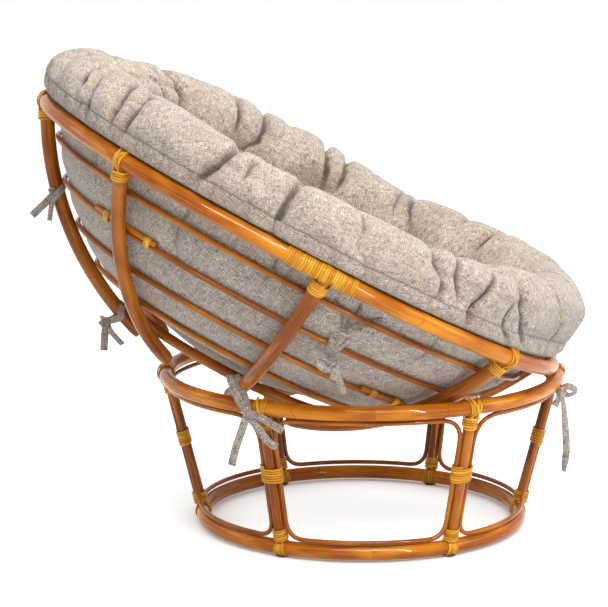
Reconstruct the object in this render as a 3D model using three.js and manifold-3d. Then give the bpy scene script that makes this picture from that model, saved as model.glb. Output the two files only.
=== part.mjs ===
// Papasan chair: a round rattan bowl with a tufted cushion, leaning in a drum-shaped rattan base.
// Millimetres, +Z up. The chair faces -Y and leans towards -Y, with its front rim down on the base ring.
// The centre lines of the bowl's rim and posts lie on one sphere, so the bowl turns about the sphere's centre.
import * as THREE from 'three';
import { mergeVertices } from 'three/addons/utils/BufferGeometryUtils.js';
import Module from 'manifold-3d';

const wasm = await Module();
wasm.setup();

// Clearances
const seatGap = 0.3; // between pieces that touch
const overrun = 5; // how far a cutting shape runs past what it cuts

// Bowl poles and canes
const rimOuterDiameter = 1150;
const rimPole = 30;
const rimDrop = 259; // from the sphere's centre down to the rim's plane
const postPole = 28;
const postInnerReach = 190; // distance of a post's lower end from the bowl's axis
const hoopCane = 10;
const hoopDepthShares = [0.14, 0.335, 0.514, 0.665]; // of the bowl's depth, below the rim's plane
const lowerRingPole = 20;
const lowerRingDepthShare = 0.793;
const rimSeat = 3.5; // how far above the top ring's line the rim comes to rest

// Base poles and canes
const topRingDiameter = 781;
const bottomRingDiameter = 637;
const ringPole = 28;
const ringSpacing = 285;
const legPole = 22;
const loopCane = 9;
const loopTopCorner = 52;
const loopBottomCorner = 36;
const glideThickness = 4;
const glideDiameter = 24;

// Cane bindings
const bindingThickness = 1.5;
const rimBindingThickness = 1.8;
const strandWidth = 4.4;
const strandGap = 0.7;
const legCollarLength = 24;
const ringBandWidth = 22;
const postCollarLength = 17;
const rimBandWidth = 26;

// Cushion
const cushionThickness = 148;
const crestHeight = 160; // above the rim's plane, times the share of the place round the rim
const crestInset = 92; // from the rim's centre line in to the crest
const bulgeReach = 23; // from the rim's centre line out to the bulge
const bulgeHeight = 72;
const pleatDepth = 22;
const middleDip = 12;
// Rings of tufts: angle from the bowl's axis, count, depth, and how far round a tuft the cloth is drawn in
const tuftRings = [
  { angle: 66, count: 16, depth: 20, reach: 52 },
  { angle: 39.7, count: 8, depth: 32, reach: 66 },
  { angle: 18.5, count: 4, depth: 32, reach: 66 },
];

// Cushion ties
const tieWidth = 15;
const tieThickness = 2.4;
const tieKnot = 20;
const backTieDrops = [16.8, 44.6]; // degrees below the rim, along the rear post
const backTail = 34;
const hoopTieIndex = 1;
const hoopTieAngle = 79; // degrees from the bowl's front
const hoopTail = 42;
const ringTieAngles = [128.2, 17]; // degrees from the front, where two ties hang over the top ring
const ringTails = [96, 130];

// Counts and angles
const postCount = 8;
const legCount = 6;
const legTurn = 4; // degrees from the front to the first leg
const midTurns = 6;
const spliceTurns = 13;
const pleatCount = 16;
const cushionTurn = -2.5; // degrees from the front to the first tuft
const ringSides = 8;
const caneSides = 6;
const postSteps = 10;
const rimSegments = 48;
const baseSegments = 48;
const hoopSegments = 40;
const loopCurveSteps = 3; // points along each rounded corner
const longStep = 60; // straight stretches are split to follow the round base
const midBindingRise = 11; // above half way between the rings
const windingGap = 0.5; // between a wound strand and what it goes round
const bendShares = [-1, -0.34, 0.34, 1]; // how the strand's bend round a loop is split
const spliceIndex = 2; // the post where the rim's two ends are joined
const cushionSegments = 80;
const cushionHoopGap = 1.4;
const cushionRimGap = 1.2;
const bulgeShoulderShare = 0.985;
const bulgeShoulderHeightShare = 0.65;
const crestShoulderShare = 0.45; // of the way from the bulge to the crest
const crestShoulderHeightShare = 0.93;
// Height of the roll round the rim, from the front towards the first side
const crestShares = [1.05, 1.01, 0.93, 0.81, 0.74, 0.74, 0.78, 0.86, 0.94, 0.91, 0.86, 0.89, 0.94, 0.97, 1, 1.04];
const rollCoreShare = 0.35; // the roll's core, as a share of the crest's height
const hoopTieThickness = 0.8; // where the ribbon is pulled tight round the hoop
const ringTieSteps = 6;
const knotSeatShare = 0.3; // of a knot's width, between its centre and the ribbon
const tailLeanShare = 0.25;

// Worked out from the sizes above
const rimTube = rimPole / 2;
const postTube = postPole / 2;
const hoopTube = hoopCane / 2;
const lowerTube = lowerRingPole / 2;
const ringTube = ringPole / 2;
const legTube = legPole / 2;
const loopTube = loopCane / 2;
const rimRadius = rimOuterDiameter / 2 - rimTube;
const topRingRadius = topRingDiameter / 2;
const bottomRingRadius = bottomRingDiameter / 2;
const bottomRingHeight = glideThickness + ringTube;
const topRingHeight = bottomRingHeight + ringSpacing;
const bowlRadius = Math.hypot(rimRadius, rimDrop); // of the sphere through the pole centres
const bowlDepth = bowlRadius - rimDrop;
const crestRadius = rimRadius - crestInset;
const bulgeRadius = rimRadius + bulgeReach;
const slideRadius = bowlRadius + Math.max(postTube, rimTube) + bindingThickness + seatGap + ringTube;
const pivotHeight = topRingHeight + Math.sqrt(slideRadius ** 2 - topRingRadius ** 2);
const rimAngle = Math.asin(rimRadius / bowlRadius);
const tilt = rimAngle - Math.asin(topRingRadius / slideRadius) - rimSeat / slideRadius;
const postEndAngle = Math.asin(postInnerReach / bowlRadius);
const postStepAngle = (rimAngle - postEndAngle) / postSteps;
const innerRadius = bowlRadius * Math.cos(postStepAngle / 2) - postTube - seatGap; // outside the hoops
const quarter = Math.PI / 2;
const flatShare = Math.cos(Math.PI / ringSides); // of a faceted pole's radius, out to its flats

// Materials
const pole = () => new THREE.MeshStandardMaterial({ color: 0xb4662a, roughness: 0.3, metalness: 0 });
const cane = () => new THREE.MeshStandardMaterial({ color: 0xc27a38, roughness: 0.35, metalness: 0 });
const binding = () => new THREE.MeshStandardMaterial({ color: 0xd99a3c, roughness: 0.45, metalness: 0 });
const linen = () => new THREE.MeshStandardMaterial({ color: 0xb0a28f, roughness: 0.9, metalness: 0 });

const chair = new THREE.Group();
const base = new THREE.Group();
const bowl = new THREE.Group();
bowl.position.z = pivotHeight;
bowl.rotation.x = tilt;
chair.add(base, bowl);
chair.updateMatrixWorld(true);

// Solids

function positionsOnly(geometry) {
  const bare = geometry.clone();
  bare.deleteAttribute('normal');
  bare.deleteAttribute('uv');
  return mergeVertices(bare);
}

function solidOf(geometry, matrix = new THREE.Matrix4()) {
  const merged = positionsOnly(geometry).applyMatrix4(matrix);
  return new wasm.Manifold(
    new wasm.Mesh({
      numProp: 3,
      vertProperties: new Float32Array(merged.attributes.position.array),
      triVerts: new Uint32Array(merged.index.array),
    }),
  );
}

function geometryOf(solid) {
  const mesh = solid.getMesh();
  const geometry = new THREE.BufferGeometry();
  geometry.setAttribute('position', new THREE.BufferAttribute(new Float32Array(mesh.vertProperties), 3));
  geometry.setIndex(new THREE.BufferAttribute(new Uint32Array(mesh.triVerts), 1));
  return geometry;
}

function meshOf(name, geometry, material, parent) {
  const mesh = new THREE.Mesh(geometry, material);
  mesh.name = name;
  parent.add(mesh);
  return mesh;
}

// Curves

// An arc of a post or of the sphere under it, in the YZ plane, from the bowl's axis outwards
class PostArc extends THREE.Curve {
  constructor(radius, from, to) {
    super();
    this.radius = radius;
    this.from = from;
    this.to = to;
  }

  getPoint(share) {
    const angle = THREE.MathUtils.lerp(this.from, this.to, share);
    return new THREE.Vector3(0, -this.radius * Math.sin(angle), -this.radius * Math.cos(angle));
  }
}

// A cane's closed path through points
function closedPath(points) {
  return new THREE.CatmullRomCurve3(points, true, 'centripetal');
}

function section(radius, sides) {
  const corners = [];
  for (let i = 0; i < sides; i += 1) {
    const angle = (i / sides) * 2 * Math.PI;
    corners.push(new THREE.Vector2(radius * Math.cos(angle), radius * Math.sin(angle)));
  }
  return new THREE.Shape(corners);
}

function rod(path, radius, sides, steps) {
  return new THREE.ExtrudeGeometry(section(radius, sides), { steps, bevelEnabled: false, extrudePath: path });
}

function ring(radius, tube, segments, sides = ringSides) {
  return new THREE.TorusGeometry(radius, tube, sides, segments);
}

// A direction round the vertical axis, counted from the front towards -X
function outwards(angle) {
  return new THREE.Vector3(-Math.sin(angle), -Math.cos(angle), 0);
}

function turned(angle) {
  return new THREE.Matrix4().makeRotationZ(-angle);
}

// A flat strip of one width and thickness, closed at both ends, through stations that each hold
// a point under the strip, the direction out of the surface and the direction across the strip
function strip(stations, width, thickness) {
  const corners = [];
  const faces = [];
  for (const { point, out, across } of stations) {
    for (const [side, lift] of [[-1, 0], [1, 0], [1, 1], [-1, 1]]) {
      const corner = point.clone().addScaledVector(across, (side * width) / 2);
      corner.addScaledVector(out, lift * thickness);
      corners.push(corner.x, corner.y, corner.z);
    }
  }
  const last = (stations.length - 1) * 4;
  for (let i = 0; i < last; i += 4) {
    for (let j = 0; j < 4; j += 1) {
      const k = (j + 1) % 4;
      faces.push(i + j, i + k, i + 4 + k, i + j, i + 4 + k, i + 4 + j);
    }
  }
  faces.push(0, 2, 1, 0, 3, 2, last, last + 1, last + 2, last, last + 2, last + 3);
  const geometry = new THREE.BufferGeometry();
  geometry.setAttribute('position', new THREE.BufferAttribute(new Float32Array(corners), 3));
  geometry.setIndex(faces);
  return facingOut(geometry);
}

function facingOut(geometry) {
  const at = geometry.attributes.position;
  const index = geometry.index.array;
  const [a, b, c] = [new THREE.Vector3(), new THREE.Vector3(), new THREE.Vector3()];
  let volume = 0;
  for (let i = 0; i < index.length; i += 3) {
    a.fromBufferAttribute(at, index[i]);
    b.fromBufferAttribute(at, index[i + 1]);
    c.fromBufferAttribute(at, index[i + 2]);
    volume += a.dot(b.cross(c));
  }
  if (volume < 0) {
    for (let i = 0; i < index.length; i += 3) {
      [index[i], index[i + 1]] = [index[i + 1], index[i]];
    }
  }
  return geometry;
}

// The least distance between the facing edges of turns that lie beside each other
function leastTurnGap(stations, stepsPerTurn, width) {
  let least = Infinity;
  for (let i = 0; i + stepsPerTurn < stations.length; i += 1) {
    const here = stations[i];
    const next = stations[i + stepsPerTurn];
    const edge = here.point.clone().addScaledVector(here.across, width / 2);
    const facing = next.point.clone().addScaledVector(next.across, -width / 2);
    least = Math.min(least, edge.distanceTo(facing));
  }
  return least;
}

// Base

const topRingSolid = ring(topRingRadius, ringTube, baseSegments).translate(0, 0, topRingHeight);
const bottomRingSolid = ring(bottomRingRadius, ringTube, baseSegments).translate(0, 0, bottomRingHeight);
const topRingClear = solidOf(ring(topRingRadius, ringTube + seatGap, baseSegments).translate(0, 0, topRingHeight));
const bottomRingClear = solidOf(
  ring(bottomRingRadius, ringTube + seatGap, baseSegments).translate(0, 0, bottomRingHeight),
);

// The radius of the cone that the legs and loops lie on
function coneRadius(height) {
  const share = (height - bottomRingHeight) / ringSpacing;
  return THREE.MathUtils.lerp(bottomRingRadius, topRingRadius, share);
}

function onCone(angle, height) {
  return outwards(angle).multiplyScalar(coneRadius(height)).setZ(height);
}

function legAngle(i) {
  return THREE.MathUtils.degToRad(legTurn) + (i / legCount) * 2 * Math.PI;
}

// A straight stretch of a leg's line, between two heights
function legLine(angle, low, high) {
  return new THREE.LineCurve3(onCone(angle, low), onCone(angle, high));
}

function makeRings() {
  meshOf('top_ring', topRingSolid, pole(), base);
  meshOf('bottom_ring', bottomRingSolid, pole(), base);
}

function makeLeg(i) {
  const line = legLine(legAngle(i), bottomRingHeight, topRingHeight);
  const leg = solidOf(rod(line, legTube, ringSides, 1)).subtract(topRingClear).subtract(bottomRingClear);
  meshOf(`leg_${i + 1}`, geometryOf(leg), pole(), base);
}

// A loop of cane that fills the panel between two legs: its sides lie along the legs,
// its top runs under the top ring and its bottom over the bottom ring
function loopPath(i) {
  const middle = legAngle(i) + Math.PI / legCount;
  const low = bottomRingHeight + ringTube + seatGap + loopTube + bindingThickness;
  const high = topRingHeight - ringTube - seatGap - loopTube - bindingThickness;
  const halfWidth = (height) =>
    coneRadius(height) * (Math.PI / legCount) - (legTube + seatGap + loopTube);
  const outline = new THREE.Path();
  const side = (height) => new THREE.Vector2(halfWidth(height), height);
  outline.moveTo(0, low);
  outline.lineTo(side(low).x - loopBottomCorner, low);
  const bottomEnd = side(low + loopBottomCorner);
  outline.quadraticCurveTo(side(low).x, low, bottomEnd.x, bottomEnd.y);
  const topStart = side(high - loopTopCorner);
  outline.lineTo(topStart.x, topStart.y);
  outline.quadraticCurveTo(side(high).x, high, side(high).x - loopTopCorner, high);
  outline.lineTo(-(side(high).x - loopTopCorner), high);
  outline.quadraticCurveTo(-side(high).x, high, -topStart.x, topStart.y);
  outline.lineTo(-bottomEnd.x, bottomEnd.y);
  outline.quadraticCurveTo(-side(low).x, low, -(side(low).x - loopBottomCorner), low);
  outline.lineTo(0, low);
  const points = outline.getPoints(loopCurveSteps).slice(0, -1);
  const spread = spreadAlongLines(points);
  return closedPath(spread.map(({ x, y }) => onCone(middle + x / coneRadius(y), y)));
}

function spreadAlongLines(points) {
  const spread = [];
  points.forEach((point, i) => {
    const next = points[(i + 1) % points.length];
    const pieces = Math.max(1, Math.round(point.distanceTo(next) / longStep));
    for (let j = 0; j < pieces; j += 1) {
      spread.push(point.clone().lerp(next, j / pieces));
    }
  });
  return spread;
}

function makeLoop(i) {
  const path = loopPath(i);
  const geometry = new THREE.TubeGeometry(path, path.points.length, loopTube, caneSides, true);
  meshOf(`loop_${i + 1}`, geometry, cane(), base);
}

// Binding where a leg meets a ring: a collar of turns round the leg and a band over the ring
function endBinding(i, ringRadius, ringHeight, clear, direction) {
  const angle = legAngle(i);
  const wall = seatGap + bindingThickness;
  const collarEnd = ringHeight + direction * (ringTube + wall + legCollarLength);
  const collar = solidOf(rod(legLine(angle, ringHeight, collarEnd), legTube + wall, ringSides, 1));
  const sleeve = solidOf(ring(ringRadius, ringTube + wall, baseSegments).translate(0, 0, ringHeight));
  const reach = ringTube + wall + overrun;
  const block = new THREE.BoxGeometry(ringBandWidth, 2 * reach, 2 * reach).translate(0, -ringRadius, ringHeight);
  const band = sleeve.intersect(solidOf(block, turned(angle)));
  const farEnd = collarEnd + direction * overrun;
  const legClear = solidOf(rod(legLine(angle, ringHeight, farEnd), legTube + seatGap, ringSides, 1));
  return { body: collar.add(band), cutters: [legClear, clear] };
}

function makeTopBinding(i) {
  const { body, cutters } = endBinding(i, topRingRadius, topRingHeight, topRingClear, -1);
  const solid = body.subtract(cutters[0]).subtract(cutters[1]);
  meshOf(`top_binding_${i + 1}`, geometryOf(solid), binding(), base);
}

// The lower binding also holds the round glide that the chair stands on
function makeFootBinding(i) {
  const { body, cutters } = endBinding(i, bottomRingRadius, bottomRingHeight, bottomRingClear, 1);
  const glide = new THREE.CylinderGeometry(glideDiameter / 2, glideDiameter / 2, bottomRingHeight, 10);
  glide.rotateX(quarter).translate(0, -bottomRingRadius, bottomRingHeight / 2);
  const solid = body.add(solidOf(glide, turned(legAngle(i)))).subtract(cutters[0]).subtract(cutters[1]);
  meshOf(`foot_binding_${i + 1}`, geometryOf(solid), binding(), base);
}

// Binding half way up a leg: one strand wound round the leg and the loops' two sides
function makeMidBinding(i) {
  const angle = legAngle(i);
  const middleHeight = (topRingHeight + bottomRingHeight) / 2 + midBindingRise;
  const centre = onCone(angle, middleHeight);
  const axis = onCone(angle, topRingHeight).sub(onCone(angle, bottomRingHeight)).normalize();
  const across = outwards(angle + quarter);
  const out = new THREE.Vector3().crossVectors(across, axis);
  if (out.dot(outwards(angle)) < 0) {
    out.negate();
  }
  const loopOffset = legTube + seatGap + loopTube;
  const loopShift = loopOffset ** 2 / (2 * coneRadius(middleHeight));
  const tangent = Math.acos((legTube - loopTube) / loopOffset);
  const bend = (x, y, radius, angles) => angles.map((round) => ({ x, y, radius, round }));
  const rodBend = (side, facing) =>
    bend(side * loopOffset, -loopShift, loopTube, bendShares.map((share) => facing + share * tangent));
  const legBend = (facing) =>
    bend(0, 0, legTube, [-1, 0, 1].map((share) => facing + share * (quarter - tangent)));
  const turn = [...rodBend(1, 0), ...legBend(quarter), ...rodBend(-1, Math.PI), ...legBend(-quarter)];
  const pitch = strandWidth + strandGap;
  const stations = [];
  const steps = midTurns * turn.length;
  for (let step = 0; step <= steps; step += 1) {
    const { x, y, radius, round } = turn[step % turn.length];
    const normal = across.clone().multiplyScalar(Math.cos(round)).addScaledVector(out, Math.sin(round));
    const point = centre.clone().addScaledVector(across, x).addScaledVector(out, y);
    point.addScaledVector(normal, radius + windingGap);
    point.addScaledVector(axis, pitch * (step / turn.length - midTurns / 2));
    stations.push({ point, out: normal, across: axis });
  }
  meshOf(`mid_binding_${i + 1}`, strip(stations, strandWidth, bindingThickness), binding(), base);
  return leastTurnGap(stations, turn.length, strandWidth);
}

// Bowl, in its own group, whose origin is the sphere's centre

// The centre line of a circle that lies in the bowl, at a share of its depth below the rim
function circleAt(depthShare, tube) {
  const distance = innerRadius - tube;
  const height = rimDrop + depthShare * bowlDepth;
  return { radius: Math.sqrt(distance ** 2 - height ** 2), height: -height };
}

function makeRim() {
  meshOf('rim', ring(rimRadius, rimTube, rimSegments).translate(0, 0, -rimDrop), pole(), bowl);
}

function makeHoop(i) {
  const { radius, height } = circleAt(hoopDepthShares[i], hoopTube);
  meshOf(`hoop_${i + 1}`, ring(radius, hoopTube, hoopSegments, caneSides).translate(0, 0, height), cane(), bowl);
}

function makeLowerRing() {
  const { radius, height } = circleAt(lowerRingDepthShare, lowerTube * flatShare);
  meshOf('lower_ring', ring(radius, lowerTube, hoopSegments).translate(0, 0, height), pole(), bowl);
}

function postAngle(i) {
  return (i / postCount) * 2 * Math.PI;
}

const rimClear = solidOf(ring(rimRadius, rimTube + seatGap, rimSegments).translate(0, 0, -rimDrop));

// A rod along the front post's centre line
function postRod(radius) {
  return rod(new PostArc(bowlRadius, postEndAngle, rimAngle), radius, ringSides, postSteps);
}

function makePosts() {
  const post = geometryOf(solidOf(postRod(postTube)).subtract(rimClear));
  for (let i = 0; i < postCount; i += 1) {
    meshOf(`post_${i + 1}`, post, pole(), bowl).rotation.z = -postAngle(i);
  }
}

// Binding where a post meets the rim: a collar round the post and a band over the rim
function rimBinding() {
  const wall = seatGap + rimBindingThickness;
  const around = solidOf(ring(rimRadius, rimTube + wall + postCollarLength, rimSegments)
    .translate(0, 0, -rimDrop));
  const collar = solidOf(postRod(postTube + wall)).intersect(around);
  const sleeve = solidOf(ring(rimRadius, rimTube + wall, rimSegments).translate(0, 0, -rimDrop));
  const reach = 2 * (rimTube + wall + overrun);
  const block = new THREE.BoxGeometry(rimBandWidth, reach, reach).translate(0, -rimRadius, -rimDrop);
  const postClear = solidOf(postRod(postTube + seatGap));
  return { body: collar.add(sleeve.intersect(solidOf(block))), cutters: [postClear, rimClear] };
}

function makeRimBindings() {
  const { body, cutters } = rimBinding();
  const shape = geometryOf(body.subtract(cutters[0]).subtract(cutters[1]));
  for (let i = 0; i < postCount; i += 1) {
    if (i !== spliceIndex) {
      meshOf(`rim_binding_${i + 1}`, shape, binding(), bowl).rotation.z = -postAngle(i);
    }
  }
}

// The distance from a ring's axis to its centre line, which runs straight along each facet
function facetedRadius(radius, segments, angle) {
  const step = (2 * Math.PI) / segments;
  const fromMiddle = angle - (Math.floor(angle / step) + 1 / 2) * step;
  return (radius * Math.cos(step / 2)) / Math.cos(fromMiddle);
}

// The rim's ends are bound together by a long strand that goes on from the binding of a post
function makeSpliceBinding() {
  const stepsPerTurn = ringSides;
  const pitch = (strandWidth + strandGap) / rimRadius;
  const steps = spliceTurns * stepsPerTurn;
  const stations = [];
  for (let step = 0; step <= steps; step += 1) {
    const round = (step / stepsPerTurn) * 2 * Math.PI;
    const along = -rimBandWidth / (2 * rimRadius) - pitch * (step / stepsPerTurn);
    const out = outwards(along).multiplyScalar(Math.cos(round)).setZ(Math.sin(round));
    const point = outwards(along).multiplyScalar(facetedRadius(rimRadius, rimSegments, along));
    point.z = -rimDrop;
    point.addScaledVector(out, rimTube + windingGap);
    stations.push({ point, out, across: outwards(along - quarter) });
  }
  const { body, cutters } = rimBinding();
  const strand = solidOf(strip(stations, strandWidth, bindingThickness));
  const geometry = geometryOf(body.add(strand).subtract(cutters[0]).subtract(cutters[1]));
  const mesh = meshOf(`rim_binding_${spliceIndex + 1}`, geometry, binding(), bowl);
  mesh.rotation.z = -postAngle(spliceIndex);
  return leastTurnGap(stations, stepsPerTurn, strandWidth);
}

// Cushion: a round pad that lies in the bowl and rolls over its rim, drawn in by radial pleats and tufts

function cushionProfile() {
  const hoopSeat = innerRadius - hoopCane - cushionHoopGap;
  const ringSeat = innerRadius - lowerRingPole - cushionHoopGap;
  const inner = ringSeat - cushionThickness;
  const onSphere = (radius, degrees) => {
    const angle = THREE.MathUtils.degToRad(degrees);
    return { r: radius * Math.sin(angle), z: rimDrop - radius * Math.cos(angle) };
  };
  const overRim = rimTube + rimBindingThickness + seatGap + cushionRimGap;
  const lean = overRim * Math.SQRT1_2;
  return [
    { ...onSphere(ringSeat, 0), pleat: 0 },
    { ...onSphere(ringSeat, 26), pleat: 0 },
    { ...onSphere(hoopSeat, 34), pleat: 0 },
    { ...onSphere(hoopSeat, 48), pleat: 0 },
    { ...onSphere(hoopSeat, 61), pleat: 0 },
    { r: rimRadius - overRim, z: 0, pleat: 0 },
    { r: rimRadius - lean, z: lean, pleat: 0 },
    { r: rimRadius, z: overRim, pleat: 0 },
    { r: bulgeRadius, z: bulgeHeight, pleat: 0.25 },
    { r: bulgeShoulderShare * bulgeRadius, z: bulgeShoulderHeightShare * crestHeight, pleat: 0.5 },
    {
      r: bulgeRadius + (crestRadius - bulgeRadius) * crestShoulderShare,
      z: crestShoulderHeightShare * crestHeight,
      pleat: 0.8,
    },
    { r: crestRadius, z: crestHeight, pleat: 1 },
    { ...onSphere(inner, 72), pleat: 0.9 },
    { ...onSphere(inner, tuftRings[0].angle), pleat: 0.5, hollow: true },
    { ...onSphere(inner, 59), pleat: 0.2, hollow: true },
    { ...onSphere(inner, 50), pleat: 0, hollow: true },
    { ...onSphere(inner, tuftRings[1].angle), pleat: 0, hollow: true },
    { ...onSphere(inner, 29), pleat: 0, hollow: true },
    { ...onSphere(inner, tuftRings[2].angle), pleat: 0, hollow: true },
    { ...onSphere(inner, 9), pleat: 0, hollow: true },
    { ...onSphere(inner + middleDip, 0), pleat: 0 },
  ];
}

// Share of the crest's height at an angle, between the two nearest of the values given round the rim
function crestShareAt(angle) {
  const at = (angle / (2 * Math.PI)) * crestShares.length;
  const before = Math.floor(at) % crestShares.length;
  const after = (before + 1) % crestShares.length;
  const share = at - Math.floor(at);
  return crestShares[before] * (1 - share) + crestShares[after] * share;
}

function tuftCentres(inner) {
  const tufts = [];
  for (const ring of tuftRings) {
    const tilt = THREE.MathUtils.degToRad(ring.angle);
    for (let i = 0; i < ring.count; i += 1) {
      const centre = outwards((i / ring.count) * 2 * Math.PI).multiplyScalar(inner * Math.sin(tilt));
      centre.z = rimDrop - inner * Math.cos(tilt);
      tufts.push({ centre, depth: ring.depth, reach: ring.reach });
    }
  }
  return tufts;
}

// How far the tufts draw the cloth in at a point of the hollow
function tuftPull(point, tufts) {
  let pull = 0;
  for (const { centre, depth, reach } of tufts) {
    const away = Math.min(1, point.distanceTo(centre) / reach);
    pull = Math.max(pull, depth * (1 - away) ** 2);
  }
  return pull;
}

function makeCushion() {
  const profile = cushionProfile();
  const corners = [];
  const faces = [];
  const core = new THREE.Vector2(crestRadius, rollCoreShare * crestHeight);
  const tufts = tuftCentres(innerRadius - lowerRingPole - cushionHoopGap - cushionThickness);
  const turn = THREE.MathUtils.degToRad(cushionTurn);
  const rimTop = rimTube + rimBindingThickness + seatGap + cushionRimGap;
  const rows = profile.slice(1, -1);
  for (const row of rows) {
    for (let i = 0; i < cushionSegments; i += 1) {
      const angle = (i / cushionSegments) * 2 * Math.PI;
      const at = new THREE.Vector2(row.r, row.z);
      const valley = (0.5 + Math.cos(pleatCount * angle) / 2) ** 2;
      const inwards = core.clone().sub(at).normalize();
      at.addScaledVector(inwards, pleatDepth * row.pleat * valley);
      at.y = at.y > rimTop ? rimTop + (at.y - rimTop) * crestShareAt(angle) : at.y;
      const point = outwards(angle).multiplyScalar(at.x).setZ(at.y);
      if (row.hollow) {
        const away = point.clone().setZ(at.y - rimDrop).normalize();
        point.addScaledVector(away, tuftPull(point, tufts));
      }
      corners.push(point.x, point.y, point.z);
    }
  }
  const bottom = corners.length / 3;
  corners.push(0, 0, profile[0].z, 0, 0, profile[profile.length - 1].z);
  const top = bottom + 1;
  const lastRow = (rows.length - 1) * cushionSegments;
  for (let i = 0; i < cushionSegments; i += 1) {
    const next = (i + 1) % cushionSegments;
    faces.push(bottom, i, next, top, lastRow + next, lastRow + i);
    for (let row = 0; row < lastRow; row += cushionSegments) {
      const [a, b, c, d] = [row + i, row + next, row + cushionSegments + next, row + cushionSegments + i];
      faces.push(a, c, b, a, d, c);
    }
  }
  const geometry = new THREE.BufferGeometry();
  geometry.setAttribute('position', new THREE.BufferAttribute(new Float32Array(corners), 3));
  geometry.setIndex(faces);
  facingOut(geometry).rotateZ(-turn).translate(0, 0, -rimDrop);
  meshOf('cushion', geometry, linen(), bowl);
}

// Ties: ribbons that hold the cushion. Each is knotted round a pole, and its end hangs straight down

function tieOf(name, collar, clear, knotPlace, hang) {
  const knot = solidOf(new THREE.SphereGeometry(tieKnot / 2, 6, 4).translate(...knotPlace.toArray()));
  const out = new THREE.Vector3(knotPlace.x, knotPlace.y, 0).normalize();
  const across = new THREE.Vector3(-out.y, out.x, 0);
  const stations = [0, 0.5, 1].map((share) => {
    const point = knotPlace.clone().addScaledVector(out, tieKnot * tailLeanShare * share);
    return { point: point.setZ(point.z - hang * share), out, across };
  });
  const tail = solidOf(strip(stations, tieWidth, tieThickness));
  meshOf(name, geometryOf(collar.add(knot).add(tail).subtract(clear)), linen(), chair);
}

// A tie round the rear post
function makeBackTie(i) {
  const rearAngle = rimAngle + tilt - THREE.MathUtils.degToRad(backTieDrops[i]);
  const wall = seatGap + tieThickness;
  const reach = 2 * (postTube + wall + overrun);
  const rear = new THREE.Matrix4().multiplyMatrices(bowl.matrixWorld, turned(Math.PI));
  const block = new THREE.BoxGeometry(reach, tieWidth, reach).translate(0, 0, -bowlRadius);
  block.rotateX(rearAngle).translate(0, 0, pivotHeight);
  const collar = solidOf(postRod(postTube + wall), rear).intersect(solidOf(block));
  const clear = solidOf(postRod(postTube + seatGap), rear);
  const knotRadius = bowlRadius + postTube + wall + tieKnot * knotSeatShare;
  const knotPlace = new THREE.Vector3(0, knotRadius * Math.sin(rearAngle), 0);
  knotPlace.z = pivotHeight - knotRadius * Math.cos(rearAngle);
  tieOf(`tie_back_${i + 1}`, collar, clear, knotPlace, backTail);
}

// A tie round one of the hoops, on the side
function makeHoopTie() {
  const { radius, height } = circleAt(hoopDepthShares[hoopTieIndex], hoopTube);
  const angle = THREE.MathUtils.degToRad(hoopTieAngle);
  const wall = seatGap + hoopTieThickness;
  const place = new THREE.Matrix4().multiplyMatrices(bowl.matrixWorld, turned(angle));
  const block = new THREE.BoxGeometry(tieWidth, tieKnot, tieKnot).translate(0, -radius, height);
  const ringRound = (tube) => ring(radius, tube, hoopSegments, caneSides).translate(0, 0, height);
  const collar = solidOf(ringRound(hoopTube + wall), bowl.matrixWorld).intersect(solidOf(block, place));
  const clear = solidOf(ringRound(hoopTube + seatGap), bowl.matrixWorld);
  const out = new THREE.Vector3(0, -radius, height).normalize();
  const knotPlace = new THREE.Vector3(0, -radius, height);
  knotPlace.addScaledVector(out, hoopTube + wall + tieKnot * knotSeatShare).applyMatrix4(place);
  tieOf('tie_hoop', collar, clear, knotPlace, hoopTail);
}

// A tie that comes down between the canes, bends over the top ring and hangs outside it
function makeRingTie(i) {
  const angle = THREE.MathUtils.degToRad(ringTieAngles[i]);
  const side = outwards(angle);
  const inwardRise = Math.atan2(pivotHeight - topRingHeight, topRingRadius);
  const upward = new THREE.Vector3(0, 0, 1);
  const stations = [];
  for (let step = 0; step <= ringTieSteps; step += 1) {
    const round = THREE.MathUtils.lerp(Math.PI - inwardRise, 0, step / ringTieSteps);
    const out = side.clone().multiplyScalar(Math.cos(round)).addScaledVector(upward, Math.sin(round));
    const point = side.clone().multiplyScalar(topRingRadius).setZ(topRingHeight);
    point.addScaledVector(out, ringTube + windingGap + seatGap);
    stations.push({ point, out, across: outwards(angle + quarter) });
  }
  const end = stations[stations.length - 1];
  stations.push({ ...end, point: end.point.clone().addScaledVector(upward, -ringTails[i]) });
  const knotPlace = end.point.clone().addScaledVector(end.out, tieKnot * knotSeatShare);
  const knot = solidOf(new THREE.SphereGeometry(tieKnot / 2, 6, 4).translate(...knotPlace.toArray()));
  const block = new THREE.BoxGeometry(tieKnot, tieKnot, tieKnot).translate(0, -tieKnot / 2, 0);
  const outside = new THREE.Matrix4().makeTranslation(end.point).multiply(turned(angle));
  const solid = solidOf(strip(stations, tieWidth, tieThickness));
  meshOf(`tie_ring_${i + 1}`, geometryOf(solid.add(knot.intersect(solidOf(block, outside)))), linen(), chair);
}

makeRings();
for (let i = 0; i < legCount; i += 1) {
  makeLeg(i);
  makeLoop(i);
  makeTopBinding(i);
  makeFootBinding(i);
}
const midGaps = Array.from({ length: legCount }, (_, i) => makeMidBinding(i));
makeRim();
hoopDepthShares.forEach((_, i) => makeHoop(i));
makeLowerRing();
makePosts();
makeRimBindings();
const spliceGap = makeSpliceBinding();
makeCushion();
backTieDrops.forEach((_, i) => makeBackTie(i));
makeHoopTie();
ringTieAngles.forEach((_, i) => makeRingTie(i));

// The chair stands on the floor, centred on the origin
const extent = new THREE.Box3().setFromObject(chair, true);
const middle = extent.getCenter(new THREE.Vector3());
chair.position.set(-middle.x, -middle.y, -extent.min.z);

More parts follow.
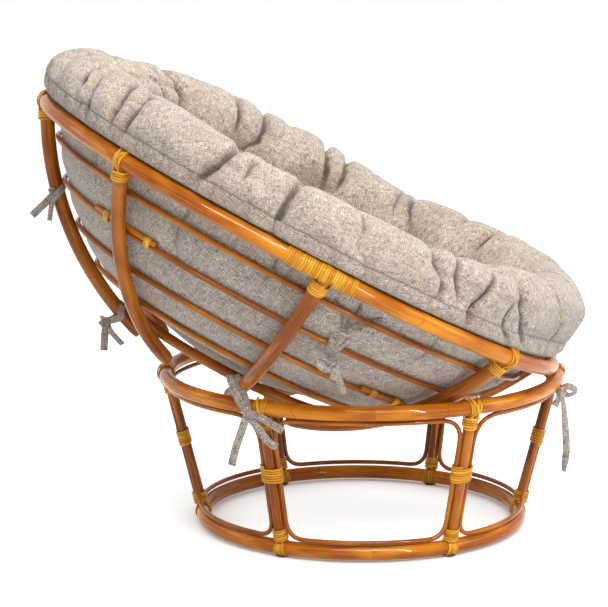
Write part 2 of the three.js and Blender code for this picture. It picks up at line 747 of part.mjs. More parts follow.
console.log(`least gap between turns: mid bindings ${Math.min(...midGaps).toFixed(2)} mm`);
console.log(`least gap between turns: rim splice ${spliceGap.toFixed(2)} mm`);

export default chair;
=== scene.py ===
"""Papasan chair: varnished rattan bowl and base with split-cane bindings and a tufted linen cushion."""

import math

import bmesh
import bpy
import numpy as np
from mathutils import Matrix, Vector, noise


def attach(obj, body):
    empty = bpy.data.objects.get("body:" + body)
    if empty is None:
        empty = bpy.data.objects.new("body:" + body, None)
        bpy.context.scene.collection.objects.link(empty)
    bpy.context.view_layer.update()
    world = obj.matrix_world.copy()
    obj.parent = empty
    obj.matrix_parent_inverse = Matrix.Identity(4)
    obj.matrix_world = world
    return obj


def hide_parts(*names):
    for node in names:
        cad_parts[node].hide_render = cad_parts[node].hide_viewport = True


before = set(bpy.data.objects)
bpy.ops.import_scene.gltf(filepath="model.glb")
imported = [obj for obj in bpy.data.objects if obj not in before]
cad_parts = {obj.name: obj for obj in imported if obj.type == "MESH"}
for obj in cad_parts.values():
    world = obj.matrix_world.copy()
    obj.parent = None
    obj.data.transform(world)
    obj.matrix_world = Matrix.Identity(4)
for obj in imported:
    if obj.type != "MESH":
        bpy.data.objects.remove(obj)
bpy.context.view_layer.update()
for node in bpy.context.selected_objects:
    node.select_set(False)

# Sizes, in metres. A tube is the radius of a pole or cane.
BASE_Y = -0.099437
RIM_RADIUS, RIM_TUBE = 0.560, 0.015
BOWL_RADIUS, POST_TUBE = 0.6169935, 0.014
POST_REACH = 0.190
HOOP_DEPTHS, HOOP_TUBE = (0.0501, 0.1199, 0.1840, 0.2381), 0.005
LOWER_DEPTH, LOWER_TUBE = 0.2839, 0.010
TOP_RADIUS, BOTTOM_RADIUS, RING_TUBE = 0.3905, 0.3185, 0.014
BOTTOM_Z, TOP_Z = 0.018, 0.303
LEG_TUBE, LOOP_TUBE = 0.011, 0.0045
LEG_INSET = 0.009
LOOP_CLEAR = 0.0018
LOOP_CORNERS = (0.052, 0.036)
MID_BINDING_RISE = 0.011
PAD_RADIUS, PAD_HEIGHT = 0.0115, 0.0042
STRAND, STRAND_THICK, PITCH = 0.0043, 0.0024, 0.0051
CROSS_REACH = 0.0175
SEAT_GAP = 0.0003
PIVOT_Z = 0.819862
TILT = math.radians(27.798)
LEGS, POSTS = 6, 8
LEG_TURN = math.radians(4)
RIM_DROP = math.sqrt(BOWL_RADIUS**2 - RIM_RADIUS**2)
INNER = BOWL_RADIUS - POST_TUBE - 0.0006

BOWL_PLACE = Matrix.Translation((0, BASE_Y, PIVOT_Z)) @ Matrix.Rotation(TILT, 4, "X")
BASE_PLACE = Matrix.Translation((0, BASE_Y, 0))
UP = Vector((0, 0, 1))

# The camera's way and distance, and the photograph's width and focal length in pixels
CAMERA_AZIMUTH, CAMERA_ELEVATION = math.radians(-94.6), math.radians(9.7)
CAMERA_TARGET, CAMERA_AWAY = Vector((0, 0.1153 + BASE_Y, 0.4437)), 4.5
FRAME_WIDTH, FOCAL_LENGTH = 608, 2256.1

# Lamps: place, height that they are aimed at, width, depth, watts, and whether they only show in the varnish
LAMPS = {
    "overhead": ((0.2, -0.5, 3.0), 0.4, 2.2, 1.8, 61, False),
    "near": ((-2.2, -0.4, 2.2), 0.4, 1.4, 1.0, 40, False),
    "upright_bar": ((-2.5, -1.3, 1.5), 0.4, 0.15, 2.2, 56, True),
    "level_bar": ((-2.0, 0.1, 2.8), 0.4, 1.9, 0.20, 105, True),
    "front": ((-0.9, -3.2, 1.6), 0.4, 1.2, 1.6, 28, False),
    "back": ((0.6, 3.0, 1.6), 0.5, 1.4, 1.4, 14, False),
}
WORLD_LIGHT, FLOOR_GLOW = 0.46, 0.62

# Rattan grows in lengths between joints, and linen is woven of threads
JOINT_SPACING = 0.31
THREAD = 0.0023


def outwards(angle):
    """Level direction, counted from the front towards the side nearest the camera."""
    return Vector((-math.sin(angle), -math.cos(angle), 0))


# Shader nodes


class Recipe:
    """Short ways to add shader nodes to one tree."""

    def __init__(self, tree):
        self.tree = tree

    def add(self, kind, **values):
        node = self.tree.nodes.new("ShaderNode" + kind)
        for key, value in values.items():
            if hasattr(node, key):
                setattr(node, key, value)
            else:
                node.inputs[key].default_value = value
        return node

    def link(self, out, into):
        self.tree.links.new(out, into)

    def feed(self, socket, value):
        """Puts a colour or number on a socket, or links it to another node's output."""
        if hasattr(value, "is_linked"):
            self.link(value, socket)
        elif isinstance(value, tuple):
            socket.default_value = (*value, 1)
        else:
            socket.default_value = value

    def maths(self, operation, first, second):
        node = self.add("Math", operation=operation)
        self.feed(node.inputs[0], first)
        self.feed(node.inputs[1], second)
        return node.outputs[0]

    def alone(self, operation, value):
        """A sum of one number, such as its sine."""
        node = self.add("Math", operation=operation)
        self.link(value, node.inputs[0])
        return node.outputs[0]

    def ramp(self, value, *stops):
        node = self.add("ValToRGB")
        while len(node.color_ramp.elements) < len(stops):
            node.color_ramp.elements.new(0.5)
        for element, (place, colour) in zip(node.color_ramp.elements, stops):
            element.position = place
            element.color = (*colour, 1)
        self.link(value, node.inputs[0])
        return node.outputs[0]

    def fade(self, value, low, high):
        """Black below one value, white above the other."""
        return self.ramp(value, (low, (0, 0, 0)), (high, (1, 1, 1)))

    def mix(self, factor, first, second, blend="MIX"):
        node = self.add("Mix", data_type="RGBA", blend_type=blend)
        for number, value in ((0, factor), (6, first), (7, second)):
            self.feed(node.inputs[number], value)
        return node.outputs[2]

    def noise(self, vector, scale, detail, roughness=0.5, distortion=0.0):
        """Noise on a vector, at one scale, or at a scale of its own each way."""
        if isinstance(scale, tuple):
            mapping = self.add("Mapping", Scale=scale)
            self.link(vector, mapping.inputs["Vector"])
            vector, scale = mapping.outputs[0], 1.0
        node = self.add("TexNoise", Scale=scale, Detail=detail, Roughness=roughness, Distortion=distortion)
        self.link(vector, node.inputs["Vector"])
        return node.outputs[0]

    def bump(self, height, strength, distance):
        node = self.add("Bump", Strength=strength, Distance=distance)
        self.link(height, node.inputs["Height"])
        return node.outputs[0]


def shader_group(name, inputs, outputs):
    """An empty group of shader nodes, the recipe for it, and its inputs and outputs as seen from inside."""
    group = bpy.data.node_groups.new(name, "ShaderNodeTree")
    for way, sockets in (("INPUT", inputs), ("OUTPUT", outputs)):
        for socket, kind in sockets.items():
            group.interface.new_socket(socket, in_out=way, socket_type="NodeSocket" + kind)
    given, result = group.nodes.new("NodeGroupInput"), group.nodes.new("NodeGroupOutput")
    return group, Recipe(group), given.outputs, result.inputs


def new_material(name):
    material = bpy.data.materials.new(name)
    material.use_nodes = True
    return material, Recipe(material.node_tree), material.node_tree.nodes["Principled BSDF"]


def seen_directly(make):
    """1 for what the camera sees directly, in a reflection or through glass."""
    path = make.add("LightPath").outputs
    seen = make.maths("MAXIMUM", path["Is Camera Ray"], path["Is Glossy Ray"])
    return make.maths("MAXIMUM", seen, path["Is Transmission Ray"])


# Camera, light and floor


def place_camera():
    level = math.cos(CAMERA_ELEVATION)
    forward = Vector(
        (-math.sin(CAMERA_AZIMUTH) * level, math.cos(CAMERA_AZIMUTH) * level, -math.sin(CAMERA_ELEVATION))
    )
    bpy.ops.object.camera_add(location=CAMERA_TARGET - forward * CAMERA_AWAY)
    camera = bpy.context.object
    camera.rotation_euler = forward.to_track_quat("-Z", "Y").to_euler()
    camera.data.sensor_width = 36
    camera.data.lens = FOCAL_LENGTH / FRAME_WIDTH * camera.data.sensor_width
    camera.data.clip_end = 60
    bpy.context.scene.camera = camera


def soft_box(name, place, aimed_at, width, depth, watts, varnish_only):
    bpy.ops.object.light_add(type="AREA", location=place)
    lamp = bpy.context.object
    lamp.name = name
    lamp.data.shape = "RECTANGLE"
    lamp.data.size, lamp.data.size_y = width, depth
    lamp.data.energy = watts
    lamp.visible_diffuse = not varnish_only
    lamp.rotation_euler = (UP * aimed_at - Vector(place)).to_track_quat("-Z", "Y").to_euler()


def light_studio():
    scene = bpy.context.scene
    scene.view_settings.view_transform = "Standard"
    scene.world = bpy.data.worlds.new("studio")
    scene.world.use_nodes = True
    make = Recipe(scene.world.node_tree)
    background = make.tree.nodes["Background"]
    background.inputs["Color"].default_value = (1, 1, 1, 1)
    strength = make.add("Mix")
    make.link(seen_directly(make), strength.inputs["Factor"])
    strength.inputs[2].default_value = WORLD_LIGHT
    strength.inputs[3].default_value = 1.0
    make.link(strength.outputs[0], background.inputs["Strength"])
    for name, settings in LAMPS.items():
        soft_box(name, *settings)


def lay_floor():
    """A floor that is white to the camera where it is lit, and keeps the chair's shadow; its glow is dimmed
    near the chair as a painted contact shadow.
    """
    bpy.ops.mesh.primitive_plane_add(size=40)
    floor = bpy.context.object
    floor.name = "floor"
    material, make, shade = new_material("white_floor")
    shade.inputs["Base Color"].default_value = (0.87, 0.92, 0.95, 1)
    shade.inputs["Roughness"].default_value = 0.9
    shade.inputs["Specular IOR Level"].default_value = 0.1
    # Painted contact shadow: the floor's glow is dimmed by ambient occlusion near the chair
    near = make.add("AmbientOcclusion", Distance=0.10)
    seen = make.maths("MULTIPLY", seen_directly(make), near.outputs["AO"])
    glow = make.add("Emission", Color=(1, 1, 1, 1))
    make.link(make.maths("MULTIPLY", seen, FLOOR_GLOW), glow.inputs["Strength"])
    both = make.add("AddShader")
    make.link(shade.outputs[0], both.inputs[0])
    make.link(glow.outputs[0], both.inputs[1])
    make.link(both.outputs[0], make.tree.nodes["Material Output"].inputs["Surface"])
    floor.data.materials.append(material)


# Finishes


def rattan_grain():
    """Colour, roughness and height of a rattan pole, from a map that runs along the pole, in metres."""
    group, make, given, result = shader_group(
        "rattan_grain",
        {"Vector": "Vector", "Dark": "Color", "Mid": "Color", "Light": "Color"},
        {"Color": "Color", "Roughness": "Float", "Height": "Float"},
    )
    along = given["Vector"]
    streaks = make.noise(along, (5, 260, 40), 4, 0.65, 0.4)
    fine = make.noise(along, (22, 1100, 90), 3, 0.6)
    patches = make.add("Mapping", Scale=(7, 30, 20), Location=(3, 1, 0))
    make.link(along, patches.inputs["Vector"])
    cloudy = make.noise(patches.outputs[0], 1.0, 2)
    base = make.mix(make.fade(streaks, 0.3, 0.72), given["Dark"], given["Mid"])
    lit = make.mix(make.fade(cloudy, 0.42, 0.7), base, given["Light"])
    pores = make.ramp(fine, (0.28, (0.55, 0.5, 0.45)), (0.5, (1, 1, 1)))
    worn = make.mix(0.6, lit, pores, "MULTIPLY")
    # Joints of the cane: a thin dark scar, a little raised
    split = make.add("SeparateXYZ")
    make.link(along, split.inputs[0])
    wander = make.maths("MULTIPLY", make.noise(along, (0.9, 30, 1), 1), 0.035)
    place = make.maths("ADD", split.outputs[0], wander)
    phase = make.alone("FRACT", make.maths("DIVIDE", place, JOINT_SPACING))
    off = make.maths("MULTIPLY", make.alone("ABSOLUTE", make.maths("SUBTRACT", phase, 0.5)), JOINT_SPACING)
    scar, ridge = (
        make.maths("SUBTRACT", 1.0, make.maths("MINIMUM", make.maths("DIVIDE", off, half), 1.0))
        for half in (0.0016, 0.006)
    )
    make.link(make.mix(make.maths("MULTIPLY", scar, 0.55), worn, (0.09, 0.03, 0.008)), result["Color"])
    make.link(make.maths("ADD", make.maths("MULTIPLY", fine, 0.18), 0.2), result["Roughness"])
    height = make.maths("ADD", make.maths("MULTIPLY", streaks, 0.35), make.maths("MULTIPLY", fine, 0.25))
    raised = make.maths("MULTIPLY", make.maths("SUBTRACT", ridge, scar), 1.1)
    make.link(make.maths("ADD", height, raised), result["Height"])
    return group


def varnished(name, grain, dark, mid, light, coat=0.34, bump=0.25):
    material, make, shade = new_material(name)
    group = make.add("Group", node_tree=grain)
    make.link(make.add("UVMap", uv_map="grain").outputs[0], group.inputs["Vector"])
    for socket, colour in (("Dark", dark), ("Mid", mid), ("Light", light)):
        group.inputs[socket].default_value = (*colour, 1)
    make.link(group.outputs["Color"], shade.inputs["Base Color"])
    make.link(group.outputs["Roughness"], shade.inputs["Roughness"])
    make.link(make.bump(group.outputs["Height"], bump, 0.0006), shade.inputs["Normal"])
    shade.inputs["Coat Weight"].default_value = coat
    shade.inputs["Coat Roughness"].default_value = 0.035
    shade.inputs["Specular IOR Level"].default_value = 0.05
    return material


def linen_weave():
    """Colour and height of a coarse plain weave of flecked yarn, on a flat map of the cloth, in metres,
    darkened by painted shade where creases and the seam lie.
    """
    group, make, given, result = shader_group(
        "linen_weave",
        {"Vector": "Vector", "Tint": "Color", "Painted_Shade": "Float"},
        {"Color": "Color", "Height": "Float"},
    )
    flat = given["Vector"]
    split = make.add("SeparateXYZ")
    make.link(flat, split.inputs[0])
    counts = []
    for axis in (0, 1):
        stretch = make.add("Mapping", Scale=(28, 28, 1), Location=(axis * 5, 0, 0))
        make.link(flat, stretch.inputs["Vector"])
        sway = make.maths("MULTIPLY", make.noise(stretch.outputs[0], 1.0, 2), 0.006)
        counts.append(make.maths("DIVIDE", make.maths("ADD", split.outputs[axis], sway), THREAD))
    waves = (make.alone("SINE", make.maths("MULTIPLY", count, math.pi)) for count in counts)
    warp, weft = (make.alone("ABSOLUTE", wave) for wave in waves)
    column, line = (make.alone("FLOOR", count) for count in counts)
    checker = make.maths("FLOORED_MODULO", make.maths("ADD", column, line), 2.0)
    over = make.mix(checker, warp, weft)
    # A fleck runs four threads along its own thread
    slow_across, slow_down = (make.alone("FLOOR", make.maths("DIVIDE", count, 4.0)) for count in counts)
    flecks = []
    for first, second, seed in ((column, slow_down, 3.0), (slow_across, line, 8.0)):
        cell = make.add("CombineXYZ", Z=seed)
        make.link(first, cell.inputs[0])
        make.link(second, cell.inputs[1])
        spot = make.add("TexWhiteNoise", noise_dimensions="3D")
        make.link(cell.outputs[0], spot.inputs["Vector"])
        flecks.append(spot.outputs["Value"])
    fleck = make.mix(checker, *flecks)
    yarn = make.ramp(
        fleck,
        (0.0, (0.22, 0.17, 0.15)),
        (0.13, (0.39, 0.31, 0.255)),
        (0.30, (0.58, 0.49, 0.40)),
        (0.52, (0.66, 0.575, 0.49)),
        (0.66, (0.50, 0.40, 0.41)),
        (0.74, (0.74, 0.66, 0.57)),
        (0.86, (0.74, 0.60, 0.34)),
        (0.93, (0.92, 0.87, 0.80)),
    )
    hollow = make.maths("MULTIPLY", make.maths("SUBTRACT", 1.0, over), 0.62)
    woven = make.mix(hollow, yarn, (0.16, 0.13, 0.11))
    clouds = make.ramp(make.noise(flat, 11, 3), (0.3, (0.90, 0.89, 0.90)), (0.7, (1, 1, 1)))
    tinted = make.mix(1.0, make.mix(1.0, woven, clouds, "MULTIPLY"), given["Tint"], "MULTIPLY")
    # Painted shade: creases and the seam are mixed towards a deep brown
    with_painted_shade = make.mix(make.maths("MULTIPLY", given["Painted_Shade"], 0.95), tinted, (0.10, 0.068, 0.046))
    make.link(with_painted_shade, result["Color"])
    make.link(make.maths("ADD", over, make.maths("MULTIPLY", fleck, 0.5)), result["Height"])
    return group


def linen_cloth(name, weave, tint):
    material, make, shade = new_material(name)
    group = make.add("Group", node_tree=weave)
    make.link(make.add("UVMap", uv_map="weave").outputs[0], group.inputs["Vector"])
    group.inputs["Tint"].default_value = (*tint, 1)
    # The fold attribute holds the painted shade of the creases and the seam
    make.link(make.add("Attribute", attribute_name="fold").outputs["Fac"], group.inputs["Painted_Shade"])
    make.link(group.outputs["Color"], shade.inputs["Base Color"])
    make.link(make.bump(group.outputs["Height"], 0.6, 0.0012), shade.inputs["Normal"])
    shade.inputs["Roughness"].default_value = 0.92
    shade.inputs["Specular IOR Level"].default_value = 0.15
    shade.inputs["Sheen Weight"].default_value = 0.3
    shade.inputs["Sheen Roughness"].default_value = 0.5
    return material


def dark_rubber():
    material, make, shade = new_material("dark_pad")
    speckle = make.noise(make.add("TexCoord").outputs["Object"], 700, 2)
    dark = make.ramp(speckle, (0.3, (0.05, 0.045, 0.04)), (0.7, (0.09, 0.08, 0.07)))
    make.link(dark, shade.inputs["Base Color"])
    shade.inputs["Roughness"].default_value = 0.7
    return material


# Making pieces


def finish(piece, body, material, slot, *nodes):
    """Puts the finished piece on its body, in place of its plain solids."""
    piece.data.materials.clear()
    piece.data.materials.append(material)
    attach(piece, body)
    if nodes:
        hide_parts(*nodes)
    return piece


def smooth(piece, angle=None):
    for each in bpy.context.selected_objects:
        each.select_set(False)
    piece.select_set(True)
    bpy.context.view_layer.objects.active = piece
    if angle is None:
        bpy.ops.object.shade_smooth()
    else:
        bpy.ops.object.shade_smooth_by_angle(angle=math.radians(angle))
    piece.select_set(False)


def round_ring(name, radius, tube, place, segments=160, sides=20, start=0.0):
    """A pole bent to a ring. Its map gives metres along the pole and round it."""
    bpy.ops.mesh.primitive_torus_add(
        major_radius=radius,
        minor_radius=tube,
        major_segments=segments,
        minor_segments=sides,
        generate_uvs=True,
    )
    piece = bpy.context.object
    piece.name = name
    grain = piece.data.uv_layers[0]
    grain.name = "grain"
    for corner in grain.data:
        corner.uv = (corner.uv[0] * math.tau * radius + start, corner.uv[1] * math.tau * tube)
    piece.data.transform(place)
    smooth(piece)
    return piece


def oval(width, thickness, sides=6):
    """A section: points (across, out) round an oval."""
    return [
        (width / 2 * math.cos(math.tau * i / sides), thickness / 2 * math.sin(math.tau * i / sides))
        for i in range(sides)
    ]


def swept(name, runs, section, closed=False, start=0.0, flare=None):
    """A mesh of one or more runs of the section along points. A run is [(point, out), ...]:
    the section's second axis points out, and its first lies across the run."""
    mesh = bpy.data.meshes.new(name)
    bm = bmesh.new()
    uv = bm.loops.layers.uv.new("grain")
    sides = len(section)
    girth = sum((Vector(section[i]) - Vector(section[i - 1])).length for i in range(sides))
    for number, run in enumerate(runs):
        points = [Vector(p) for p, _ in run]
        count = len(points)
        rings, lengths, total = [], [], start + number * 0.37
        for i, (_, out) in enumerate(run):
            before = points[i - 1] if i or closed else points[i]
            after = points[(i + 1) % count] if i + 1 < count or closed else points[i]
            tangent = (after - before).normalized()
            across = tangent.cross(Vector(out)).normalized()
            lift = across.cross(tangent)
            if i:
                total += (points[i] - points[i - 1]).length
            lengths.append(total)
            grow = flare(i / (count - 1)) if flare else 1.0
            rings.append([bm.verts.new(points[i] + across * a * grow + lift * b * grow) for a, b in section])
        last = count if closed else count - 1
        for i in range(last):
            j = (i + 1) % count
            end = lengths[i] + (points[j] - points[i]).length
            for k in range(sides):
                m = (k + 1) % sides
                face = bm.faces.new((rings[i][k], rings[i][m], rings[j][m], rings[j][k]))
                turn = girth / sides
                here, low, high = lengths[i], k * turn, (k + 1) * turn
                for corner, place in zip(face.loops, ((here, low), (here, high), (end, high), (end, low))):
                    corner[uv].uv = place
        if not closed:
            bm.faces.new(list(reversed(rings[0])))
            bm.faces.new(rings[-1])
    bmesh.ops.recalc_face_normals(bm, faces=bm.faces[:])
    bm.to_mesh(mesh)
    bm.free()
    piece = bpy.data.objects.new(name, mesh)
    bpy.context.collection.objects.link(piece)
    return piece


def rounded(piece, place):
    piece.data.transform(place)
    smooth(piece, 50)
    return piece


def placed_at(centre, x, y, z):
    """The matrix that turns a piece's own ways to three others, and moves its middle to the centre."""
    place = Matrix((x, y, z)).transposed().to_4x4()
    place.translation = centre
    return place


# Base


def cone_radius(height):
    share = (height - BOTTOM_Z) / (TOP_Z - BOTTOM_Z)
    return BOTTOM_RADIUS + (TOP_RADIUS - BOTTOM_RADIUS) * share


def on_cone(angle, height):
    return outwards(angle) * cone_radius(height) + UP * height


def leg_angle(i):
    return LEG_TURN + i * math.tau / LEGS


def leg_axis(angle):
    return (on_cone(angle, TOP_Z) - on_cone(angle, BOTTOM_Z)).normalized()


def loop_points(i):
    """The loop's centre line: its sides lie along two legs, its corners are round."""
    middle = leg_angle(i) + math.pi / LEGS
    low = BOTTOM_Z + RING_TUBE + LOOP_TUBE + LOOP_CLEAR
    high = TOP_Z - RING_TUBE - LOOP_TUBE - LOOP_CLEAR
    beside_leg = LEG_TUBE + LOOP_TUBE + SEAT_GAP
    top, bottom = LOOP_CORNERS

    def half(z):
        return cone_radius(z) * math.pi / LEGS - beside_leg

    corners = [
        ((half(low) - bottom, low), (half(low), low), (half(low + bottom), low + bottom)),
        ((half(high - top), high - top), (half(high), high), (half(high) - top, high)),
    ]
    corners += [tuple((-x, z) for x, z in reversed(c)) for c in reversed(corners)]
    flat = []
    for number, (a, b, c) in enumerate(corners):
        for k in range(9):
            t = k / 8
            flat.append(tuple((1 - t) ** 2 * p + 2 * t * (1 - t) * q + t * t * r for p, q, r in zip(a, b, c)))
        after = corners[(number + 1) % len(corners)][0]
        flat += [tuple(p + (q - p) * (k / 12) for p, q in zip(c, after)) for k in range(1, 12)]
    return [on_cone(middle + x / cone_radius(z), z) for x, z in flat]


def build_base(ring, pole, cane, strand, rubber):
    """Two rings, and for each leg its pole, the loop beside it, its three bindings and its floor pad."""
    top = round_ring("top_ring_pole", TOP_RADIUS, RING_TUBE, BASE_PLACE @ Matrix.Translation((0, 0, TOP_Z)))
    finish(top, "base", ring, "pole", "top_ring")
    place = BASE_PLACE @ Matrix.Translation((0, 0, BOTTOM_Z))
    bottom = round_ring("bottom_ring_pole", BOTTOM_RADIUS, RING_TUBE, place, start=3.1)
    finish(bottom, "base", ring, "pole", "bottom_ring")
    steps = 16
    for i in range(LEGS):
        angle = leg_angle(i)
        foot, head = on_cone(angle, BOTTOM_Z + LEG_INSET), on_cone(angle, TOP_Z - LEG_INSET)
        run = [(foot.lerp(head, k / steps), outwards(angle)) for k in range(steps + 1)]
        leg = swept(f"leg_pole_{i + 1}", [run], oval(2 * LEG_TUBE, 2 * LEG_TUBE, 20), start=i * 0.83)
        finish(rounded(leg, BASE_PLACE), "base", pole, "pole", f"leg_{i + 1}")
        run = [(point, outwards(angle + math.pi / LEGS)) for point in loop_points(i)]
        section = oval(2 * LOOP_TUBE, 2 * LOOP_TUBE, 12)
        loop = swept(f"loop_cane_{i + 1}", [run], section, closed=True, start=i * 1.7)
        finish(rounded(loop, BASE_PLACE), "base", cane, "cane", f"loop_{i + 1}")
        build_mid_binding(i, strand)
        build_end_binding(i, strand, TOP_RADIUS, TOP_Z, "head", "top_binding")
        build_end_binding(i, strand, BOTTOM_RADIUS, BOTTOM_Z, "foot", "foot_binding")
        build_floor_pad(i, rubber)


def coil(radius_x, radius_y, turns, pitch, steps=28, shift=0.0, rough=0.0002):
    """Turns of strand round the vertical axis, centred on it, straying a little as wound by hand."""
    run = []
    for k in range(int(turns * steps) + 1):
        angle = math.tau * k / steps
        turn = k / steps
        stray = rough * noise.noise(Vector((turn * 1.7 + shift, math.cos(angle), math.sin(angle))))
        out = Vector((math.cos(angle) / radius_x, math.sin(angle) / radius_y, 0)).normalized()
        point = Vector((radius_x * math.cos(angle), radius_y * math.sin(angle), pitch * (turn - turns / 2)))
        run.append((point + out * stray + UP * stray, out))
    return run


def build_mid_binding(i, strand):
    """One strand wound round the leg and the sides of the two loops beside it."""
    angle = leg_angle(i)
    axis, across = leg_axis(angle), outwards(angle + math.pi / 2)
    centre = on_cone(angle, (TOP_Z + BOTTOM_Z) / 2 + MID_BINDING_RISE)
    half_width, half_depth, turns = 0.0219, 0.0128, 6.2
    run = coil(half_width, half_depth, turns, PITCH, 32, i * 5.0)
    wrap = swept(f"mid_wrap_{i + 1}", [run], oval(STRAND, STRAND_THICK), start=i * 2.0)
    wrap = rounded(wrap, BASE_PLACE @ placed_at(centre, across, axis.cross(across), axis))
    finish(wrap, "base", strand, "binding", f"mid_binding_{i + 1}")


def tee_runs(ring_tube, pole_tube, turns, strands, seed, side, cross=True):
    """Strands that bind a pole's end to a ring: a coil round the pole, loops over the ring, a cross on top.
    X runs along the ring, the pole goes down -Z, and Y is outwards."""
    lift = STRAND_THICK / 2 + 0.0002
    low = -(ring_tube + 0.0035)
    coil_run = coil(pole_tube + 2 * lift, pole_tube + 2 * lift, turns, PITCH, 26, seed)
    runs = [[(point + UP * (low - turns * PITCH / 2), out) for point, out in coil_run]]
    for k in range(strands):
        offset = (k - (strands - 1) / 2) * PITCH
        stray = 0.0005 * noise.noise(Vector((k * 3.1, seed, 0.5)))
        radius = ring_tube + lift + stray
        ends = offset * 0.62
        run = [(Vector((ends, pole_tube + lift, low - 0.004)), Vector((0, 1, 0)))]
        for step in range(21):
            share = step / 20
            around = math.radians(-62 + 304 * share)
            pull = min(1.0, 4 * min(share, 1 - share))
            out = Vector((0, math.cos(around), math.sin(around)))
            run.append((Vector((ends + (offset + stray - ends) * pull, 0, 0)) + out * radius, out))
        run.append((Vector((ends, -(pole_tube + lift), low - 0.004)), Vector((0, -1, 0))))
        runs.append(run)
    for way in (-1, 1) if cross else ():
        radius = ring_tube + 3 * lift + (0.0008 if way > 0 else 0)
        run = []
        for step in range(15):
            share = step / 14
            around = math.radians(128 - 168 * share)
            out = Vector((0, side * math.cos(around), math.sin(around)))
            run.append((Vector((way * CROSS_REACH * (0.72 - 1.1 * share), 0, 0)) + out * radius, out))
        end = run[-1][0] + Vector((-way * 0.002, side * 0.0005, -0.006))
        runs.append(run + [(end, Vector((0, side, 0)))])
    return runs


def build_end_binding(i, strand, radius, height, end, node):
    """Binding of a leg's head or foot to its ring."""
    way = 1 if end == "head" else -1
    angle = leg_angle(i)
    axis = leg_axis(angle) * way
    along = outwards(angle + math.pi / 2) * way
    out = axis.cross(along)
    side = 1 if out.dot(outwards(angle)) > 0 else -1
    runs = tee_runs(RING_TUBE, LEG_TUBE, 4.6, 5, i * 2.3 + way, side, cross=way > 0)
    wrap = swept(f"{end}_wrap_{i + 1}", runs, oval(STRAND, STRAND_THICK), start=i)
    place = placed_at(outwards(angle) * radius + UP * height, along, out, axis)
    finish(rounded(wrap, BASE_PLACE @ place), "base", strand, "binding", f"{node}_{i + 1}")


def build_floor_pad(i, rubber):
    place = outwards(leg_angle(i)) * BOTTOM_RADIUS + Vector((0, BASE_Y, PAD_HEIGHT / 2))
    bpy.ops.mesh.primitive_cylinder_add(vertices=32, radius=PAD_RADIUS, depth=PAD_HEIGHT, location=place)
    pad = bpy.context.object
    pad.name = f"floor_pad_{i + 1}"
    bpy.ops.object.transform_apply(location=True, rotation=True, scale=True)
    pad.modifiers.new("edge", "BEVEL").width = 0.001
    bpy.ops.object.modifier_apply(modifier="edge")
    smooth(pad, 40)
    finish(pad, "base", rubber, "pole")


# Bowl


def circle_at(depth, tube):
    """Radius and height of a hoop inside the posts, at a depth under the rim's plane."""
    drop = RIM_DROP + depth
    return math.sqrt((INNER - tube) ** 2 - drop**2), -drop


def post_angle(i):
    return i * math.tau / POSTS


def worn_end(share):
    """A post is a little thinner at its lower end."""
    return 1 - 0.12 * max(0, 0.02 - share) / 0.02


def build_bowl(ring, pole, cane, strand):
    """Rim, hoops and lower ring, and the posts with their bindings at the rim."""
    place = BOWL_PLACE @ Matrix.Translation((0, 0, -RIM_DROP))
    finish(round_ring("rim_pole", RIM_RADIUS, RIM_TUBE, place, 224, 20, 7.7), "bowl", ring, "pole", "rim")
    for i, depth in enumerate(HOOP_DEPTHS):
        radius, height = circle_at(depth, HOOP_TUBE)
        place = BOWL_PLACE @ Matrix.Translation((0, 0, height))
        hoop = round_ring(f"hoop_cane_{i + 1}", radius, HOOP_TUBE, place, 200, 12, i * 4.1)
        finish(hoop, "bowl", cane, "cane", f"hoop_{i + 1}")
    radius, height = circle_at(LOWER_DEPTH, LOWER_TUBE)
    place = BOWL_PLACE @ Matrix.Translation((0, 0, height))
    lower = round_ring("lower_ring_pole", radius, LOWER_TUBE, place, 120, 16)
    finish(lower, "bowl", pole, "pole", "lower_ring")
    start, end = math.asin(POST_REACH / BOWL_RADIUS), math.asin(RIM_RADIUS / BOWL_RADIUS)
    steps = 44
    for i in range(POSTS):
        out = outwards(post_angle(i))
        run = []
        for k in range(steps + 1):
            a = start + (end - start - 0.013) * k / steps
            way = out * math.sin(a) - UP * math.cos(a)
            run.append((way * BOWL_RADIUS, way))
        section = oval(2 * POST_TUBE, 2 * POST_TUBE, 20)
        post = swept(f"post_pole_{i + 1}", [run], section, start=i * 1.13, flare=worn_end)
        finish(rounded(post, BOWL_PLACE), "bowl", pole, "pole", f"post_{i + 1}")
        build_rim_binding(i, strand, end)


# Laps of the hoops: hoop, first and last angle of the lap, and the angles of its two ties, in degrees
HOOP_LAPS = ((1, 125.5, 147.0, (127.9, 142.2)), (2, 46.5, 63.0, (58.6, 49.5)))


